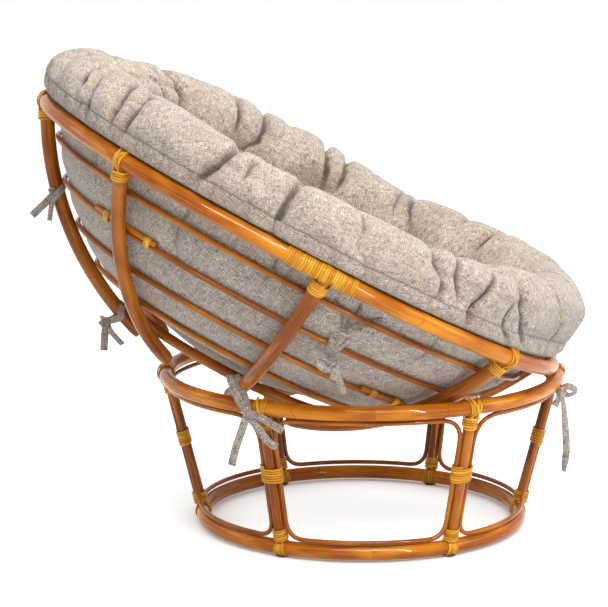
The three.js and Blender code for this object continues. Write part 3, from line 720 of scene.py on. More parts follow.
def build_hoop_laps(cane, strand):
    """The ends of two hoops lie side by side over a post, and are bound together on either side of it."""
    gap = 2 * HOOP_TUBE + 0.0004
    turns, steps, pitch = 3.4, 24, 0.0040
    for number, first, last, ties in HOOP_LAPS:
        radius, height = circle_at(HOOP_DEPTHS[number], HOOP_TUBE)
        level, rise = -height / (INNER - HOOP_TUBE), radius / (INNER - HOOP_TUBE)
        run = []
        for k in range(25):
            out = outwards(math.radians(first + (last - first) * k / 24))
            run.append((out * (radius + level * gap) + UP * (height + rise * gap), UP))
        lap = swept(f"hoop_lap_{number + 1}", [run], oval(2 * HOOP_TUBE, 2 * HOOP_TUBE, 12), start=number)
        finish(rounded(lap, BOWL_PLACE), "bowl", cane, "cane")
        runs = []
        for degrees in ties:
            angle = math.radians(degrees)
            out, along = outwards(angle), outwards(angle + math.pi / 2)
            beside, away = out * level + UP * rise, out * rise - UP * level
            middle = out * radius + UP * height + beside * (gap / 2) + away * 0.0005
            run = []
            for step in range(int(turns * steps) + 1):
                turn = math.tau * step / steps
                way = away * math.cos(turn) + beside * math.sin(turn)
                point = middle + away * math.cos(turn) * 0.0062 + beside * math.sin(turn) * 0.0114
                run.append((point + along * (pitch * (step / steps - turns / 2)), way))
            runs.append(run)
        wrap = swept(f"hoop_lap_wrap_{number + 1}", runs, oval(0.0038, 0.0013), start=number)
        finish(rounded(wrap, BOWL_PLACE), "bowl", strand, "binding")


# The splice of the rim: the post that it is at, and the middle and turns of the coils on its two sides
SPLICE_POST = 2
SPLICE_COILS = ((-0.0358, 9.0), (0.0468, 13.5))


def build_rim_binding(i, strand, end):
    """Binding of a post to the rim. One of them goes on along the rim, over its splice."""
    out_level, along = outwards(post_angle(i)), outwards(post_angle(i) + math.pi / 2)
    way = out_level * math.sin(end) - UP * math.cos(end)
    axis = (out_level * math.cos(end) + UP * math.sin(end)).normalized()
    out = axis.cross(along)
    side = 1 if out.dot(way) > 0 else -1
    splice = i == SPLICE_POST
    turns, strands = (4.3, 5) if splice else (3.6, 4)
    runs = tee_runs(RIM_TUBE, POST_TUBE, turns, strands, i * 1.9, side, cross=not splice)
    reach = RIM_TUBE + 0.0011
    inward = -UP * math.cos(end) - Vector((0, side, 0)) * math.sin(end)
    for middle, coil_turns in SPLICE_COILS if splice else ():
        run = []
        for p, o in coil(reach, reach, coil_turns, PITCH * 0.97, 28, middle * 90):
            x = middle - p.z
            sag = x * x / (2 * RIM_RADIUS)
            point = Vector((x, side * p.x, p.y)) + inward * sag
            run.append((point, Vector((0, side * o.x, o.y))))
        runs.append(run)
    wrap = swept(f"rim_wrap_{i + 1}", runs, oval(STRAND, STRAND_THICK), start=i * 0.7)
    place = placed_at(way * BOWL_RADIUS, along, out, axis)
    finish(rounded(wrap, BOWL_PLACE @ place), "bowl", strand, "binding", f"rim_binding_{i + 1}")


# Cushion


# The seam's height over the rim's plane, and how far the pad is turned in the bowl, in degrees
SEAM_HEIGHT = 0.052
CUSHION_TURN = -2.5
# Tufts of the outer ring and their distance past the crest, then counts and distances from the middle
TUFTS, TUFT_DROP = 16, 0.140
HOLLOW_TUFTS = ((8, 0.300), (4, 0.140))
# Where a tuft of the outer ring sits beside its even place: degrees round, metres inwards
TUFT_SHIFTS = {
    4: (3.0, 0.0),
    9: (2.0, -0.01),
    10: (4.5, -0.01),
    11: (5.0, 0.0),
    12: (8.0, 0.0),
    13: (2.0, 0.03),
    14: (-5.0, 0.0),
}
# Height of the roll over the rim's plane at 16 places round it, and the height that its outline is drawn with
CRESTS = (0.176, 0.164, 0.148, 0.130, 0.119, 0.119, 0.122, 0.127)
CRESTS += (0.126, 0.122, 0.146, 0.168, 0.170, 0.152, 0.171, 0.184)
DRAWN_CREST, CREST_FROM = 0.160, 0.03
# The grid before its points are doubled, and the frames and greatest movement of the blown-up cloth
CUSHION_ROWS, CUSHION_COLUMNS = 118, 300
CLOTH_FRAMES, CLOTH_REACH = 24, 0.026
# Gathers under the seam, short folds round each tuft, and the depth of those
GATHERS, RAYS, RAY_DEPTH = 60, 5, 0.006
# Across a crease: its sharp bottom, and its slopes where it laps over and where it doesn't
CREASE_SHARP, LAP_SLOPE, OTHER_SLOPE = 0.0028, 0.019, 0.009
# Where the lap swells and how widely, then the fine line and the soft edge of the crease's painted shade
SWELL_AT, SWELL_WIDE = 0.011, 0.006
CREASE_LINE, CREASE_SOFT = 0.0026, 0.009
# Dents of the cover to the metre, and their height
DENTS, DENT_LIFT = 11, 0.0032
# The underside's place on the flat map, beside the upper cloth's, and the map's share of the true lengths
UNDERSIDE_ASIDE, MAP_SHARE = 4, 0.94


def bell(distance, width):
    """1 in the middle, fading out to both sides."""
    return np.exp(-((distance / width) ** 2))


def bent(p, q, r, s, t):
    """What lies between q and r, on a smooth curve through all four."""
    return 0.5 * (2 * q + (r - p) * t + (2 * p - 5 * q + 4 * r - s) * t * t + (3 * q - p - 3 * r + s) * t**3)


def catmull(points, share):
    """Point on a smooth curve through points, by its share of the run from the first to the last."""
    at = share * (len(points) - 1)
    i = min(int(at), len(points) - 2)
    four = (points[min(max(i + k, 0), len(points) - 1)] for k in (-1, 0, 1, 2))
    return tuple(bent(*values, at - i) for values in zip(*four))


def crest_height(angle):
    """Height of the roll over the rim's plane, on a smooth curve through the crests."""
    at = angle % math.tau / math.tau * len(CRESTS)
    return bent(*(CRESTS[(int(at) + k) % len(CRESTS)] for k in (-1, 0, 1, 2)), at % 1)


def underside(degrees):
    """Distance of the pad's underside from the bowl's centre: on the canes, and fuller between them."""
    on_ring, on_canes = INNER - 2 * LOWER_TUBE - 0.0012, INNER - 2 * HOOP_TUBE - 0.0012
    share = max(0.0, min(1.0, (degrees - 25.2) / 3))
    radius = on_ring + (on_canes - on_ring) * share * share * (3 - 2 * share)
    # Stuffed firmly, the pad spans the lowest cane and hangs clear of the ring in the middle
    clear = max(0.0, min(1.0, (33.5 - degrees) / 9))
    radius -= 0.016 * clear * clear * (3 - 2 * clear)
    canes = [math.degrees(math.acos((RIM_DROP + depth) / (INNER - HOOP_TUBE))) for depth in HOOP_DEPTHS]
    stops = sorted(canes) + [67.0]
    for low, high in zip([25.0] + stops, stops):
        if low < degrees < high:
            radius += 0.0042 * math.sin(math.pi * (degrees - low) / (high - low)) ** 2
    return radius


def cushion_outline():
    """(radius, height over the rim's plane) from the middle of the underside round the edge to the hollow."""

    def shell(radius, degrees):
        a = math.radians(degrees)
        return radius * math.sin(a), RIM_DROP - radius * math.cos(a)

    over = RIM_TUBE + 0.0034
    inner = BOWL_RADIUS - POST_TUBE - 2 * LOWER_TUBE - 0.150
    points = [shell(underside(a), a) for a in (0, 5, 10, 15, 20, 23.6)]
    points += [shell(underside(a), a) for a in (27, 30, 33.7, 37.9, 42.1, 46.3, 50.6, 54.7, 58.8, 61.5)]
    points += [
        (RIM_RADIUS - over - 0.001, -0.006),
        (RIM_RADIUS - over * 0.86, over * 0.55),
        (RIM_RADIUS - 0.001, over + 0.0008),
        (RIM_RADIUS + 0.0125, 0.0175),
        (0.5800, 0.034),
        (0.5855, 0.059),
        (0.584, 0.088),
        (0.571, 0.117),
        (0.540, 0.144),
        (0.500, 0.158),
        (0.462, 0.154),
        (0.432, 0.128),
        (0.412, 0.088),
        (0.394, 0.040),
    ]
    points += [shell(inner, a) for a in (57.5, 51, 44, 37, 30, 22, 14, 7, 0)]
    return points


def outline_rows(count):
    """Radius, height and length so far at even steps, and the lengths at the seam, crest and end."""
    outline = cushion_outline()
    dense = np.array([catmull(outline, k / 4000) for k in range(4001)])
    lengths = np.concatenate(([0.0], np.cumsum(np.hypot(*np.diff(dense, axis=0).T))))
    wanted = np.linspace(0, lengths[-1], count + 2)[1:-1]
    radius, height = (np.interp(wanted, lengths, dense[:, k]) for k in (0, 1))
    side = (dense[:, 0] > 0.565) & (dense[:, 1] >= SEAM_HEIGHT)
    return radius, height, wanted, lengths[np.argmax(side)], lengths[np.argmax(dense[:, 1])], lengths[-1]


def seeded(*numbers):
    return noise.noise(Vector(numbers))


def tuft_places(crest_at, total):
    """Azimuth, and length along the outline, of each tuft: a ring inside the roll, and two in the hollow."""
    places = []
    for k in range(TUFTS):
        stray = seeded(k * 2.3, 0.7, 1.1)
        turn, sink = TUFT_SHIFTS.get(k, (3.0 * stray, 0.012 * stray))
        places.append((math.radians(360 / TUFTS * k + CUSHION_TURN + turn), crest_at + TUFT_DROP + sink))
    for count, from_middle in HOLLOW_TUFTS:
        places += [(math.radians(360 / count * k + CUSHION_TURN), total - from_middle) for k in range(count)]
    return places


def apart(azimuths, azimuth):
    """Signed difference of azimuths, in radians."""
    return (azimuths - azimuth + math.pi) % math.tau - math.pi


def raised(heights, azimuths):
    """Heights of the outline where the roll is lower or higher than it is drawn."""
    crest = np.array([crest_height(azimuth) for azimuth in azimuths])
    share = (crest - CREST_FROM) / (DRAWN_CREST - CREST_FROM)
    return np.where(heights > CREST_FROM, CREST_FROM + (heights - CREST_FROM) * share, heights)


def cushion_grid(rows, columns):
    """Start of the pad: the outline turned round, with pits at the tufts and valleys over the roll."""
    radius, height, length, seam_at, crest_at, total = outline_rows(rows)
    azimuths = np.arange(columns) * math.tau / columns
    r = np.repeat(radius[:, None], columns, 1)
    s = np.repeat(length[:, None], columns, 1)
    a = np.repeat(azimuths[None, :], rows, 0)
    h = raised(np.repeat(height[:, None], columns, 1), azimuths)
    slope_r, slope_h = np.gradient(r, axis=0), np.gradient(h, axis=0)
    size = np.hypot(slope_r, slope_h)
    out_r, out_h = slope_h / size, -slope_r / size
    sunk = np.zeros_like(r)
    for number, (azimuth, at) in enumerate(tuft_places(crest_at, total)):
        across, along = apart(a, azimuth) * r, s - at
        away = np.hypot(across, along)
        sunk += 0.030 * bell(away, 0.034)
        if number < TUFTS:
            share = np.clip((s - seam_at) / (at - seam_at), 0, 1)
            sunk += 0.004 * bell(across, 0.026) * share**3 * (s < at)
    sunk += 0.012 * np.clip(1 - (total - s) / 0.05, 0, 1) ** 2
    # The cloth is blown up later, so the pad starts a little smaller
    sunk += 0.009 * np.clip((s - seam_at + 0.02) / 0.09, 0, 1)
    r, h = r - out_r * sunk, h - out_h * sunk
    # At the front the roll rises steeply from the rim, and at the back it hangs outwards over it
    front = 0.037 * np.clip(np.cos(a), 0, 1) ** 1.5 * bell(h - 0.060, 0.046)
    r -= front * np.clip((r - 0.550) / 0.016, 0, 1)
    back = 0.022 * np.clip(-np.cos(a - 0.1), 0, 1) ** 2
    r += back * np.clip((h - 0.022) / 0.07, 0, 1) * (r > 0.47)
    points = np.stack((-np.sin(a) * r, -np.cos(a) * r, h - RIM_DROP), 2)
    return points, a, s, seam_at, crest_at, total


def cushion_mesh(name, points):
    """A closed mesh from a grid whose rows go from the middle of the underside to that of the hollow."""
    rows, columns = points.shape[:2]
    low, high = points[0].mean(0), points[-1].mean(0)
    vertices = np.concatenate((points.reshape(-1, 3), [low, high]))
    i = np.arange(columns)
    n = (i + 1) % columns
    faces = []
    for here in range(0, (rows - 1) * columns, columns):
        above = here + columns
        faces += np.stack((here + i, above + i, above + n, here + n), 1).tolist()
    bottom, top, last = rows * columns, rows * columns + 1, (rows - 1) * columns
    faces += [(bottom, int(k), int(m)) for k, m in zip(i, n)]
    faces += [(top, int(last + m), int(last + k)) for k, m in zip(i, n)]
    mesh = bpy.data.meshes.new(name)
    mesh.from_pydata(vertices.tolist(), [], faces)
    mesh.update()
    piece = bpy.data.objects.new(name, mesh)
    bpy.context.collection.objects.link(piece)
    return piece


def inflate(points, held, tight):
    """Blows the pad up as cloth, held at its tufts and underside, and drawn in along its seam and folds."""
    rows, columns = points.shape[:2]
    piece = cushion_mesh("pad_form", points)
    for name, weights in (("held", held), ("tight", tight)):
        group = piece.vertex_groups.new(name=name)
        flat = weights.ravel()
        for level in np.unique(flat[flat > 0]):
            group.add(np.nonzero(flat == level)[0].tolist(), float(level), "REPLACE")
        if name == "held":
            group.add([rows * columns, rows * columns + 1], 1.0, "REPLACE")
    cloth = piece.modifiers.new("cloth", "CLOTH")
    settings = cloth.settings
    settings.quality = 5
    settings.mass = 0.12
    settings.air_damping = 2.0
    settings.tension_stiffness = settings.compression_stiffness = 18
    settings.shear_stiffness = 6
    settings.bending_stiffness = 4.0
    settings.tension_damping = settings.compression_damping = settings.shear_damping = 8
    settings.vertex_group_mass = "held"
    settings.use_pressure = True
    settings.uniform_pressure_force = 7
    settings.vertex_group_shrink = "tight"
    settings.shrink_min, settings.shrink_max = -0.035, 0.06
    settings.effector_weights.gravity = 0
    cloth.collision_settings.use_collision = False
    cloth.point_cache.frame_start, cloth.point_cache.frame_end = 1, CLOTH_FRAMES
    scene = bpy.context.scene
    for number in range(1, CLOTH_FRAMES + 1):
        scene.frame_set(number)
    shaped = piece.evaluated_get(bpy.context.evaluated_depsgraph_get()).to_mesh()
    flat = np.empty(len(shaped.vertices) * 3)
    shaped.vertices.foreach_get("co", flat)
    moved = flat.reshape(-1, 3)[: rows * columns].reshape(rows, columns, 3) - points
    size = np.linalg.norm(moved, axis=2, keepdims=True)
    print(f"pad: cloth moved {size.mean() * 1000:.1f} mm on average, {size.max() * 1000:.1f} mm at most")
    moved *= np.minimum(1.0, CLOTH_REACH / np.maximum(size, 1e-9))
    bpy.data.objects.remove(piece)
    scene.frame_set(1)
    return points + moved


def doubled(points):
    """The grid with a point added between each two, on a smooth curve through its neighbours."""
    back, ahead, far = np.roll(points, 1, 1), np.roll(points, -1, 1), np.roll(points, -2, 1)
    across = np.empty((points.shape[0], points.shape[1] * 2, points.shape[2]))
    across[:, 0::2], across[:, 1::2] = points, (9 * (points + ahead) - back - far) / 16
    grown = np.empty((points.shape[0] * 2 - 1, *across.shape[1:]))
    padded = np.concatenate((across[:1], across, across[-1:]))
    grown[0::2] = across
    grown[1::2] = (9 * (padded[1:-2] + padded[2:-1]) - padded[:-3] - padded[3:]) / 16
    return grown


def grid_normals(points):
    """Ways out of the pad at the points of its grid."""
    along = np.gradient(points, axis=0)
    across = np.roll(points, -1, 1) - np.roll(points, 1, 1)
    out = np.cross(along, across)
    out /= np.maximum(np.linalg.norm(out, axis=2, keepdims=True), 1e-12)
    middle = len(points) // 2
    if np.sum(out[middle, 0] * points[middle, 0] * (1, 1, 0)) < 0:
        out = -out
    return out


# Folds of the cover: azimuth in degrees and metres along the cloth above the seam, then the depth
FOLDS = (
    (((117.0, 0.195), (116.4, 0.104), (117.0, 0.033), (118.8, -0.044)), 0.017),
    (((111.6, 0.150), (111.2, 0.090), (111.0, 0.046)), 0.009),
    (((100.8, 0.205), (102.0, 0.143), (102.0, 0.027), (102.0, -0.057)), 0.015),
    (((88.8, 0.150), (87.8, 0.105), (87.2, 0.070)), 0.006),
    (((70.8, 0.180), (72.0, 0.104), (69.6, 0.050), (70.2, -0.015)), 0.015),
    (((64.2, 0.180), (66.6, 0.098), (66.0, 0.053), (65.6, 0.010)), 0.012),
    (((55.2, 0.150), (57.6, 0.091), (61.2, 0.027), (61.0, -0.040)), 0.015),
    (((48.6, 0.120), (47.4, 0.053), (45.6, 0.008), (42.0, -0.031)), 0.013),
    (((50.4, 0.070), (52.2, 0.014), (47.8, -0.038)), 0.010),
    (((33.0, 0.190), (34.0, 0.110), (31.0, 0.030), (32.0, -0.030)), 0.010),
    (((19.0, 0.210), (17.0, 0.120), (21.0, 0.040)), 0.009),
    (((6.0, 0.220), (9.0, 0.170), (8.0, 0.110)), 0.013),
    (((352.0, 0.220), (354.0, 0.120), (351.0, 0.020)), 0.011),
    (((330.0, 0.270), (329.0, 0.190), (332.0, 0.090)), 0.011),
    (((337.0, 0.200), (338.0, 0.120), (335.0, 0.030)), 0.008),
    (((318.0, 0.220), (316.0, 0.120), (319.0, 0.020)), 0.010),
    (((306.6, 0.290), (303.0, 0.246), (300.5, 0.190), (301.0, 0.100), (298.0, 0.000)), 0.015),
    (((299.0, 0.265), (297.0, 0.210), (296.0, 0.160)), 0.009),
    (((277.2, 0.315), (276.0, 0.259), (273.5, 0.150), (275.0, 0.060), (272.0, -0.010)), 0.017),
    (((279.8, 0.300), (281.0, 0.240), (280.0, 0.140), (282.0, 0.060)), 0.012),
    (((262.0, 0.170), (263.0, 0.090), (260.0, 0.020)), 0.008),
    (((249.0, 0.315), (254.4, 0.259), (255.0, 0.150), (257.0, 0.060)), 0.015),
    (((247.0, 0.300), (246.6, 0.253), (245.4, 0.150), (243.0, 0.050), (244.0, -0.020)), 0.014),
    (((227.4, 0.290), (226.0, 0.240), (223.8, 0.170), (226.0, 0.080), (224.0, 0.000)), 0.016),
    (((219.0, 0.270), (216.0, 0.210), (212.0, 0.160), (211.0, 0.090), (213.0, 0.020)), 0.014),
    (((202.0, 0.260), (201.0, 0.180), (204.0, 0.100), (202.0, 0.010)), 0.013),
    (((193.0, 0.190), (191.0, 0.110), (194.0, 0.030), (192.0, -0.030)), 0.010),
    (((183.0, 0.230), (181.0, 0.150), (184.0, 0.070), (182.0, -0.010)), 0.011),
    (((176.0, 0.250), (174.0, 0.160), (168.6, 0.085), (161.5, 0.010)), 0.014),
    (((168.0, 0.240), (161.0, 0.124), (155.6, 0.059), (153.6, -0.006)), 0.015),
    (((162.0, 0.235), (157.2, 0.143), (149.6, 0.040), (147.6, -0.040)), 0.016),
    (((150.0, 0.225), (146.0, 0.140), (142.2, 0.075), (139.8, -0.025)), 0.013),
    (((142.0, 0.170), (139.0, 0.110), (137.4, 0.060), (136.2, -0.030)), 0.012),
    # Under the bowl: the cloth is drawn to the side ribbon, and hangs in a few soft folds
    (((79.0, -0.192), (77.5, -0.155), (74.0, -0.115)), 0.009),
    (((79.3, -0.192), (79.6, -0.150), (80.6, -0.105)), 0.009),
    (((79.6, -0.192), (81.6, -0.160), (86.0, -0.125)), 0.008),
    (((79.0, -0.225), (78.0, -0.255), (75.0, -0.290)), 0.006),
    (((101.0, -0.075), (99.0, -0.120), (100.0, -0.180)), 0.006),
    (((96.0, -0.080), (95.5, -0.115), (96.5, -0.150)), 0.004),
    (((62.0, -0.090), (60.0, -0.150), (62.0, -0.190)), 0.005),
    (((118.0, -0.090), (121.0, -0.150), (120.0, -0.220)), 0.005),
    (((145.0, -0.080), (148.0, -0.130), (147.0, -0.190)), 0.004),
)


def rays(crest_at, total):
    """Short folds round each tuft: points of (azimuth, length along the outline), and a depth."""
    lines = []
    for number, (azimuth, at) in enumerate(tuft_places(crest_at, total)):
        for ray in range(RAYS):
            way = math.tau * (ray + 0.35 * seeded(azimuth, ray * 1.7, 0.4)) / RAYS
            if number < TUFTS and math.cos(way) < 0.5 or abs(math.cos(way)) < 0.2:
                continue
            radius = 0.42 if number < TUFTS else 0.22 if number < TUFTS + HOLLOW_TUFTS[0][0] else 0.12
            reach = 0.060 + 0.025 * seeded(azimuth, ray, 3.1)
            turned, climbed = math.sin(way) / radius, math.cos(way)
            path = [(azimuth + turned * far, at + climbed * far) for far in (0.006, reach / 2, reach)]
            lines.append((path, RAY_DEPTH))
    return lines


def grooves(crest_at, seam_at, total):
    """All creases of the cover: points of (azimuth in radians, length along the outline), and a depth."""
    lines = [([(math.radians(a), seam_at + s) for a, s in path], depth) for path, depth in FOLDS]
    lines += rays(crest_at, total)
    # Gathers where the cloth is drawn in under the seam, deeper towards the back
    for k in range(GATHERS):
        azimuth = math.radians(360 / GATHERS * k + 2.0 * seeded(k * 1.7, 3.3, 8.1))
        wild = seeded(k * 2.3, 6.1, 1.9)
        top = seam_at + 0.004 + 0.02 * max(wild, 0)
        low = (azimuth - 0.012 * wild, seam_at - 0.04)
        path = [(azimuth + 0.01 * wild, top), (azimuth, seam_at - 0.015), low]
        lines.append((path, 0.0022 + 0.0016 * wild - 0.0014 * math.cos(azimuth)))
    return lines


def path_azimuths(path, wanted):
    """Azimuth of a crease at each length along the outline, and its share of the way along the crease."""
    dense = np.array([catmull(path, k / 40) for k in range(41)])
    dense = dense[np.argsort(dense[:, 1])]
    share = (wanted - dense[0, 1]) / (dense[-1, 1] - dense[0, 1])
    return np.interp(wanted, dense[:, 1], dense[:, 0]), share


def between(row, places):
    """The row's points at fractional places, on a smooth curve through their neighbours."""
    low = np.clip(np.floor(places).astype(int), 1, len(row) - 3)
    t = (places - low).reshape(-1, *[1] * (row.ndim - 1))
    return bent(*(row[low + k] for k in (-1, 0, 1, 2)), t)


# The 13 points about a crease: their even places, and how far from its middle they are drawn
OFFSETS = np.arange(-6, 7)
NARROWED = np.array([6.0, 4.45, 3.1, 1.95, 1.0, 0.30, 0.0, 0.30, 1.0, 1.95, 3.1, 4.45, 6.0])


def drawn_together(at, middle, grip=1.0):
    """Places in a row for the points about a line, drawn close to it so that a fold can be sharp."""
    moved = (at - middle) * (1 - np.abs(OFFSETS) / 6) + np.sign(OFFSETS) * (NARROWED - np.abs(OFFSETS))
    return middle + OFFSETS + moved * grip


def crease(points, turns, normals, lengths, line, shade):
    """Draws a crease into the grid row by row: sharp at its bottom, and fuller on the side that laps over,
    with painted shade along its bottom.
    """
    path, depth = line
    columns = points.shape[1]
    low, high = min(s for a, s in path), max(s for a, s in path)
    rows = np.nonzero((lengths > low) & (lengths < high))[0]
    azimuths, shares = path_azimuths(path, lengths[rows])
    lap = 1 if seeded(path[0][0] * 7, 1.3, 5.5) > 0 else -1
    for j, azimuth, share in zip(rows, azimuths, shares):
        wanted = (azimuth + 0.005 * seeded(path[0][0] * 9, share * 3.0, 1.0)) / math.tau * columns
        fade = min(1.0, share / 0.25, (1 - share) / 0.18) ** 0.7
        near = np.arange(round(wanted) - 12, round(wanted) + 13)
        local = turns[j, near % columns] + columns * np.floor(near / columns)
        at = np.interp(wanted, local, near)
        middle = round(at)
        window = np.arange(middle - 9, middle + 10)
        places = drawn_together(at, middle, min(1.0, fade * 1.6)) - window[0]
        turned = turns[j, window % columns] + columns * np.floor(window / columns)
        fresh, angles = between(points[j, window % columns], places), between(turned, places)
        away = np.linalg.norm(fresh - fresh[6], axis=1) * np.sign(OFFSETS)
        slope = np.where(away * lap > 0, LAP_SLOPE, OTHER_SLOPE)
        sunk = 0.50 * np.exp(-np.abs(away) / CREASE_SHARP) + 0.50 * bell(away, slope)
        sunk -= 0.20 * bell(away * lap - SWELL_AT, SWELL_WIDE)
        inner = (middle + OFFSETS) % columns
        points[j, inner] = fresh - normals[j, inner] * (sunk * depth * fade)[:, None]
        turns[j, inner] = angles - columns * np.floor((middle + OFFSETS) / columns)
        # Painted shade along the crease: a fine dark line at its bottom and a soft edge
        dark = 0.85 * bell(away, CREASE_LINE) + 0.15 * bell(away, CREASE_SOFT)
        shade[j, inner] = np.maximum(shade[j, inner], fade * min(1.0, depth / 0.011) * dark)


def hold(start, azimuths, lengths, seam_at, tufts, lines):
    """How firmly the cloth is held at each point, and how far it is drawn in there, from 0 to 1."""
    held = np.round(np.clip((seam_at - 0.004 - lengths) / 0.036, 0, 1) ** 1.5 * 10) / 10
    tight = np.zeros_like(held)
    radius = np.hypot(start[..., 0], start[..., 1])
    for azimuth, at in tufts:
        away = np.hypot(apart(azimuths, azimuth) * radius, lengths - at)
        held = np.maximum(held, (away < 0.013).astype(float))
        tight = np.maximum(tight, bell(away, 0.03))
    for path, depth in lines:
        middle, share = path_azimuths(path, lengths.ravel())
        across = apart(azimuths, middle.reshape(lengths.shape)) * radius
        within = (share > 0).reshape(lengths.shape) & (share < 1).reshape(lengths.shape)
        tight = np.maximum(tight, within * min(1.0, depth / 0.012) * bell(across, 0.010))
    return held, np.round(tight * 8) / 8


def dent(points, normals, along, seam_at, shade):
    """Puts small dents into the cover, and the thin groove of its seam with painted shade along it."""
    loose = np.clip((along - (seam_at - 0.03)) / 0.03, 0, 1)
    for j, row in enumerate(points):
        dents = np.array([noise.fractal(Vector(point) * DENTS, 0.9, 2.1, 2) for point in row])
        lift = dents * DENT_LIFT * loose[j] - 0.0008 * (1 - loose[j]) * np.abs(dents)
        row += normals[j] * lift[:, None]
        off = along[j] - seam_at
        if abs(off) < 0.05:
            groove = 0.0016 * math.exp(-abs(off) / 0.0022) + 0.0012 * bell(off, 0.012)
            row -= normals[j] * groove
            # Painted shade along the seam's groove
            shade[j] = 0.62 * bell(off, 0.0016)


def lay_weave(mesh, along, turns, seam_at, total):
    """The flat map of the cover's cloths, in metres from the middle of the underside or of the hollow."""
    columns = turns.shape[1]
    reach = np.where(along > seam_at, total - along, along)[:, None] * MAP_SHARE
    angle = turns * (math.tau / columns)
    flat = np.stack((reach * np.cos(angle), reach * np.sin(angle)), 2).reshape(-1, 2)
    underside_only = np.argmax(along > seam_at) * columns
    flat[:underside_only, 0] += UNDERSIDE_ASIDE
    flat = np.concatenate((flat, [[UNDERSIDE_ASIDE, 0], [0, 0]]))
    corners = np.empty(len(mesh.loops), dtype=np.int32)
    mesh.loops.foreach_get("vertex_index", corners)
    mesh.uv_layers.new(name="weave").data.foreach_set("uv", flat[corners].ravel())


def build_cushion(cloth):
    start, azimuths, lengths, seam_at, crest_at, total = cushion_grid(CUSHION_ROWS, CUSHION_COLUMNS)
    lines = grooves(crest_at, seam_at, total)
    held, tight = hold(start, azimuths, lengths, seam_at, tuft_places(crest_at, total), lines)
    held = np.maximum(held, (total - lengths < 0.03).astype(float))
    points = doubled(inflate(start, held, tight))
    along = doubled(lengths[..., None])[:, 0, 0]
    # Rows drawn together at the seam, so that its line is thin
    at = np.interp(seam_at, along, np.arange(len(along)))
    middle = round(at)
    places, rows = drawn_together(at, middle), slice(middle - 6, middle + 7)
    points[rows], along[rows] = between(points, places), between(along, places)
    normals = grid_normals(points)
    shade = np.zeros(points.shape[:2])
    turns = np.repeat(np.arange(points.shape[1], dtype=float)[None], len(points), 0)
    dent(points, normals, along, seam_at, shade)
    for line in lines:
        crease(points, turns, normals, along, line, shade)
    piece = cushion_mesh("cushion_cover", points)
    # Painted shade of the creases and the seam, kept as the fold attribute for the cloth's colour
    fold = piece.data.attributes.new("fold", "FLOAT", "POINT")
    fold.data.foreach_set("value", np.concatenate((shade.ravel(), [0, 0])))
    lay_weave(piece.data, along, turns, seam_at, total)
    piece.data.transform(BOWL_PLACE)
    smooth(piece)
    finish(piece, "bowl", cloth, "linen", "cushion")


# Ties

RIBBON_THICK = 0.0026
SIDE_TIE_ANGLE = 79
# Rear ties: knot, then the ends of the two tails and of the short stub over the knot, in millimetres
REAR_TIES = (
    (
        (-6, 604, 672),
        ((-10, 624, 652), (-12, 650, 628)),
        ((-14, 612, 646), (-18, 616, 618)),
        ((-14, 611, 683),),
    ),
    (
        (-6, 509, 412),
        ((-10, 512, 388), (-12, 514, 357)),
        ((-12, 500, 395), (-10, 477, 368)),
        ((-14, 516, 426),),
    ),
)


def ribbon_section(width):
    """Across a flat tube of cloth: thin at its edges, a little full between them."""
    half, thin = width / 2, RIBBON_THICK / 2
    shares = ((1, 0), (0.86, 0.8), (0.3, 1), (-0.3, 1), (-0.86, 0.8))
    upper = [(half * across, thin * full) for across, full in shares]
    return upper + [(-x, -y) for x, y in upper]


def tie(name, strips, width, node, cloth):
    """A tie of ribbon, sewn from one length: each strip is (points, facings), smoothed and swept."""
    runs = []
    for points, facings in strips:
        steps = 7 * (len(points) - 1)
        run = []
        for k in range(steps + 1):
            facing = Vector(catmull(facings, k / steps)).normalized()
            run.append((Vector(catmull(points, k / steps)), facing))
        runs.append(run)
    piece = swept(name, runs, ribbon_section(width))
    piece.data.uv_layers[0].name = "weave"
    smooth(piece, 50)
    finish(piece, "bowl", cloth, "linen", node)


def placed(*millimetres):
    """Points beside the base, in millimetres from its axis and the floor, as points of the scene."""
    return [Vector(each) / 1000 + Vector((0, BASE_Y, 0)) for each in millimetres]


def facing(*ways):
    return [Vector(each).normalized() for each in ways]


def knot(centre, axis, out, radius):
    """Two turns of the ribbon round itself, about the way that the strap runs."""
    side = axis.cross(out).normalized()
    points, facings = [], []
    for k in range(11):
        a = math.radians(-70 + 62 * k)
        way = out * math.cos(a) + side * math.sin(a)
        points.append(centre + way * (radius + 0.0002 * k) + axis * (0.0011 * (k - 5)))
        facings.append(way)
    return points, facings


def round_post(pole, axis, out, centre):
    """A strip from the knot's centre round the post and back to it."""
    side = axis.cross(out).normalized()
    reach = POST_TUBE + 0.0019
    points, facings = [centre - out * 0.004], [(side + out).normalized()]
    for degrees in (62, 100, 140, 180, 220, 260, 298):
        a = math.radians(degrees)
        way = out * math.cos(a) + side * math.sin(a)
        points.append(pole + way * reach - axis * (0.011 * math.cos(a) + 0.002))
        facings.append(way)
    return points + [centre - out * 0.002], facings + [(out - side).normalized()]


def build_rear_ties(cloth):
    for i, (at, *tails) in enumerate(REAR_TIES):
        centre = placed(at)[0]
        out = (centre - Vector((0, BASE_Y, PIVOT_Z))).normalized()
        pole = Vector((0, BASE_Y, PIVOT_Z)) + out * BOWL_RADIUS
        axis = Vector((0, -out.z, out.y))
        strips = [round_post(pole, axis, out, centre), knot(centre, out, -axis, 0.0072)]
        for number, tail in enumerate(tails):
            ends = placed(*tail)
            turned = (-1, 0.2, 0.3) if number == 0 else (-0.7, 0.8, 0.2)
            strips.append(([centre] + ends, facing((-1, 0, 0.3), *[turned] * len(ends))))
        tie(f"rear_tie_{i + 1}", strips, 0.015, f"tie_back_{i + 1}", cloth)


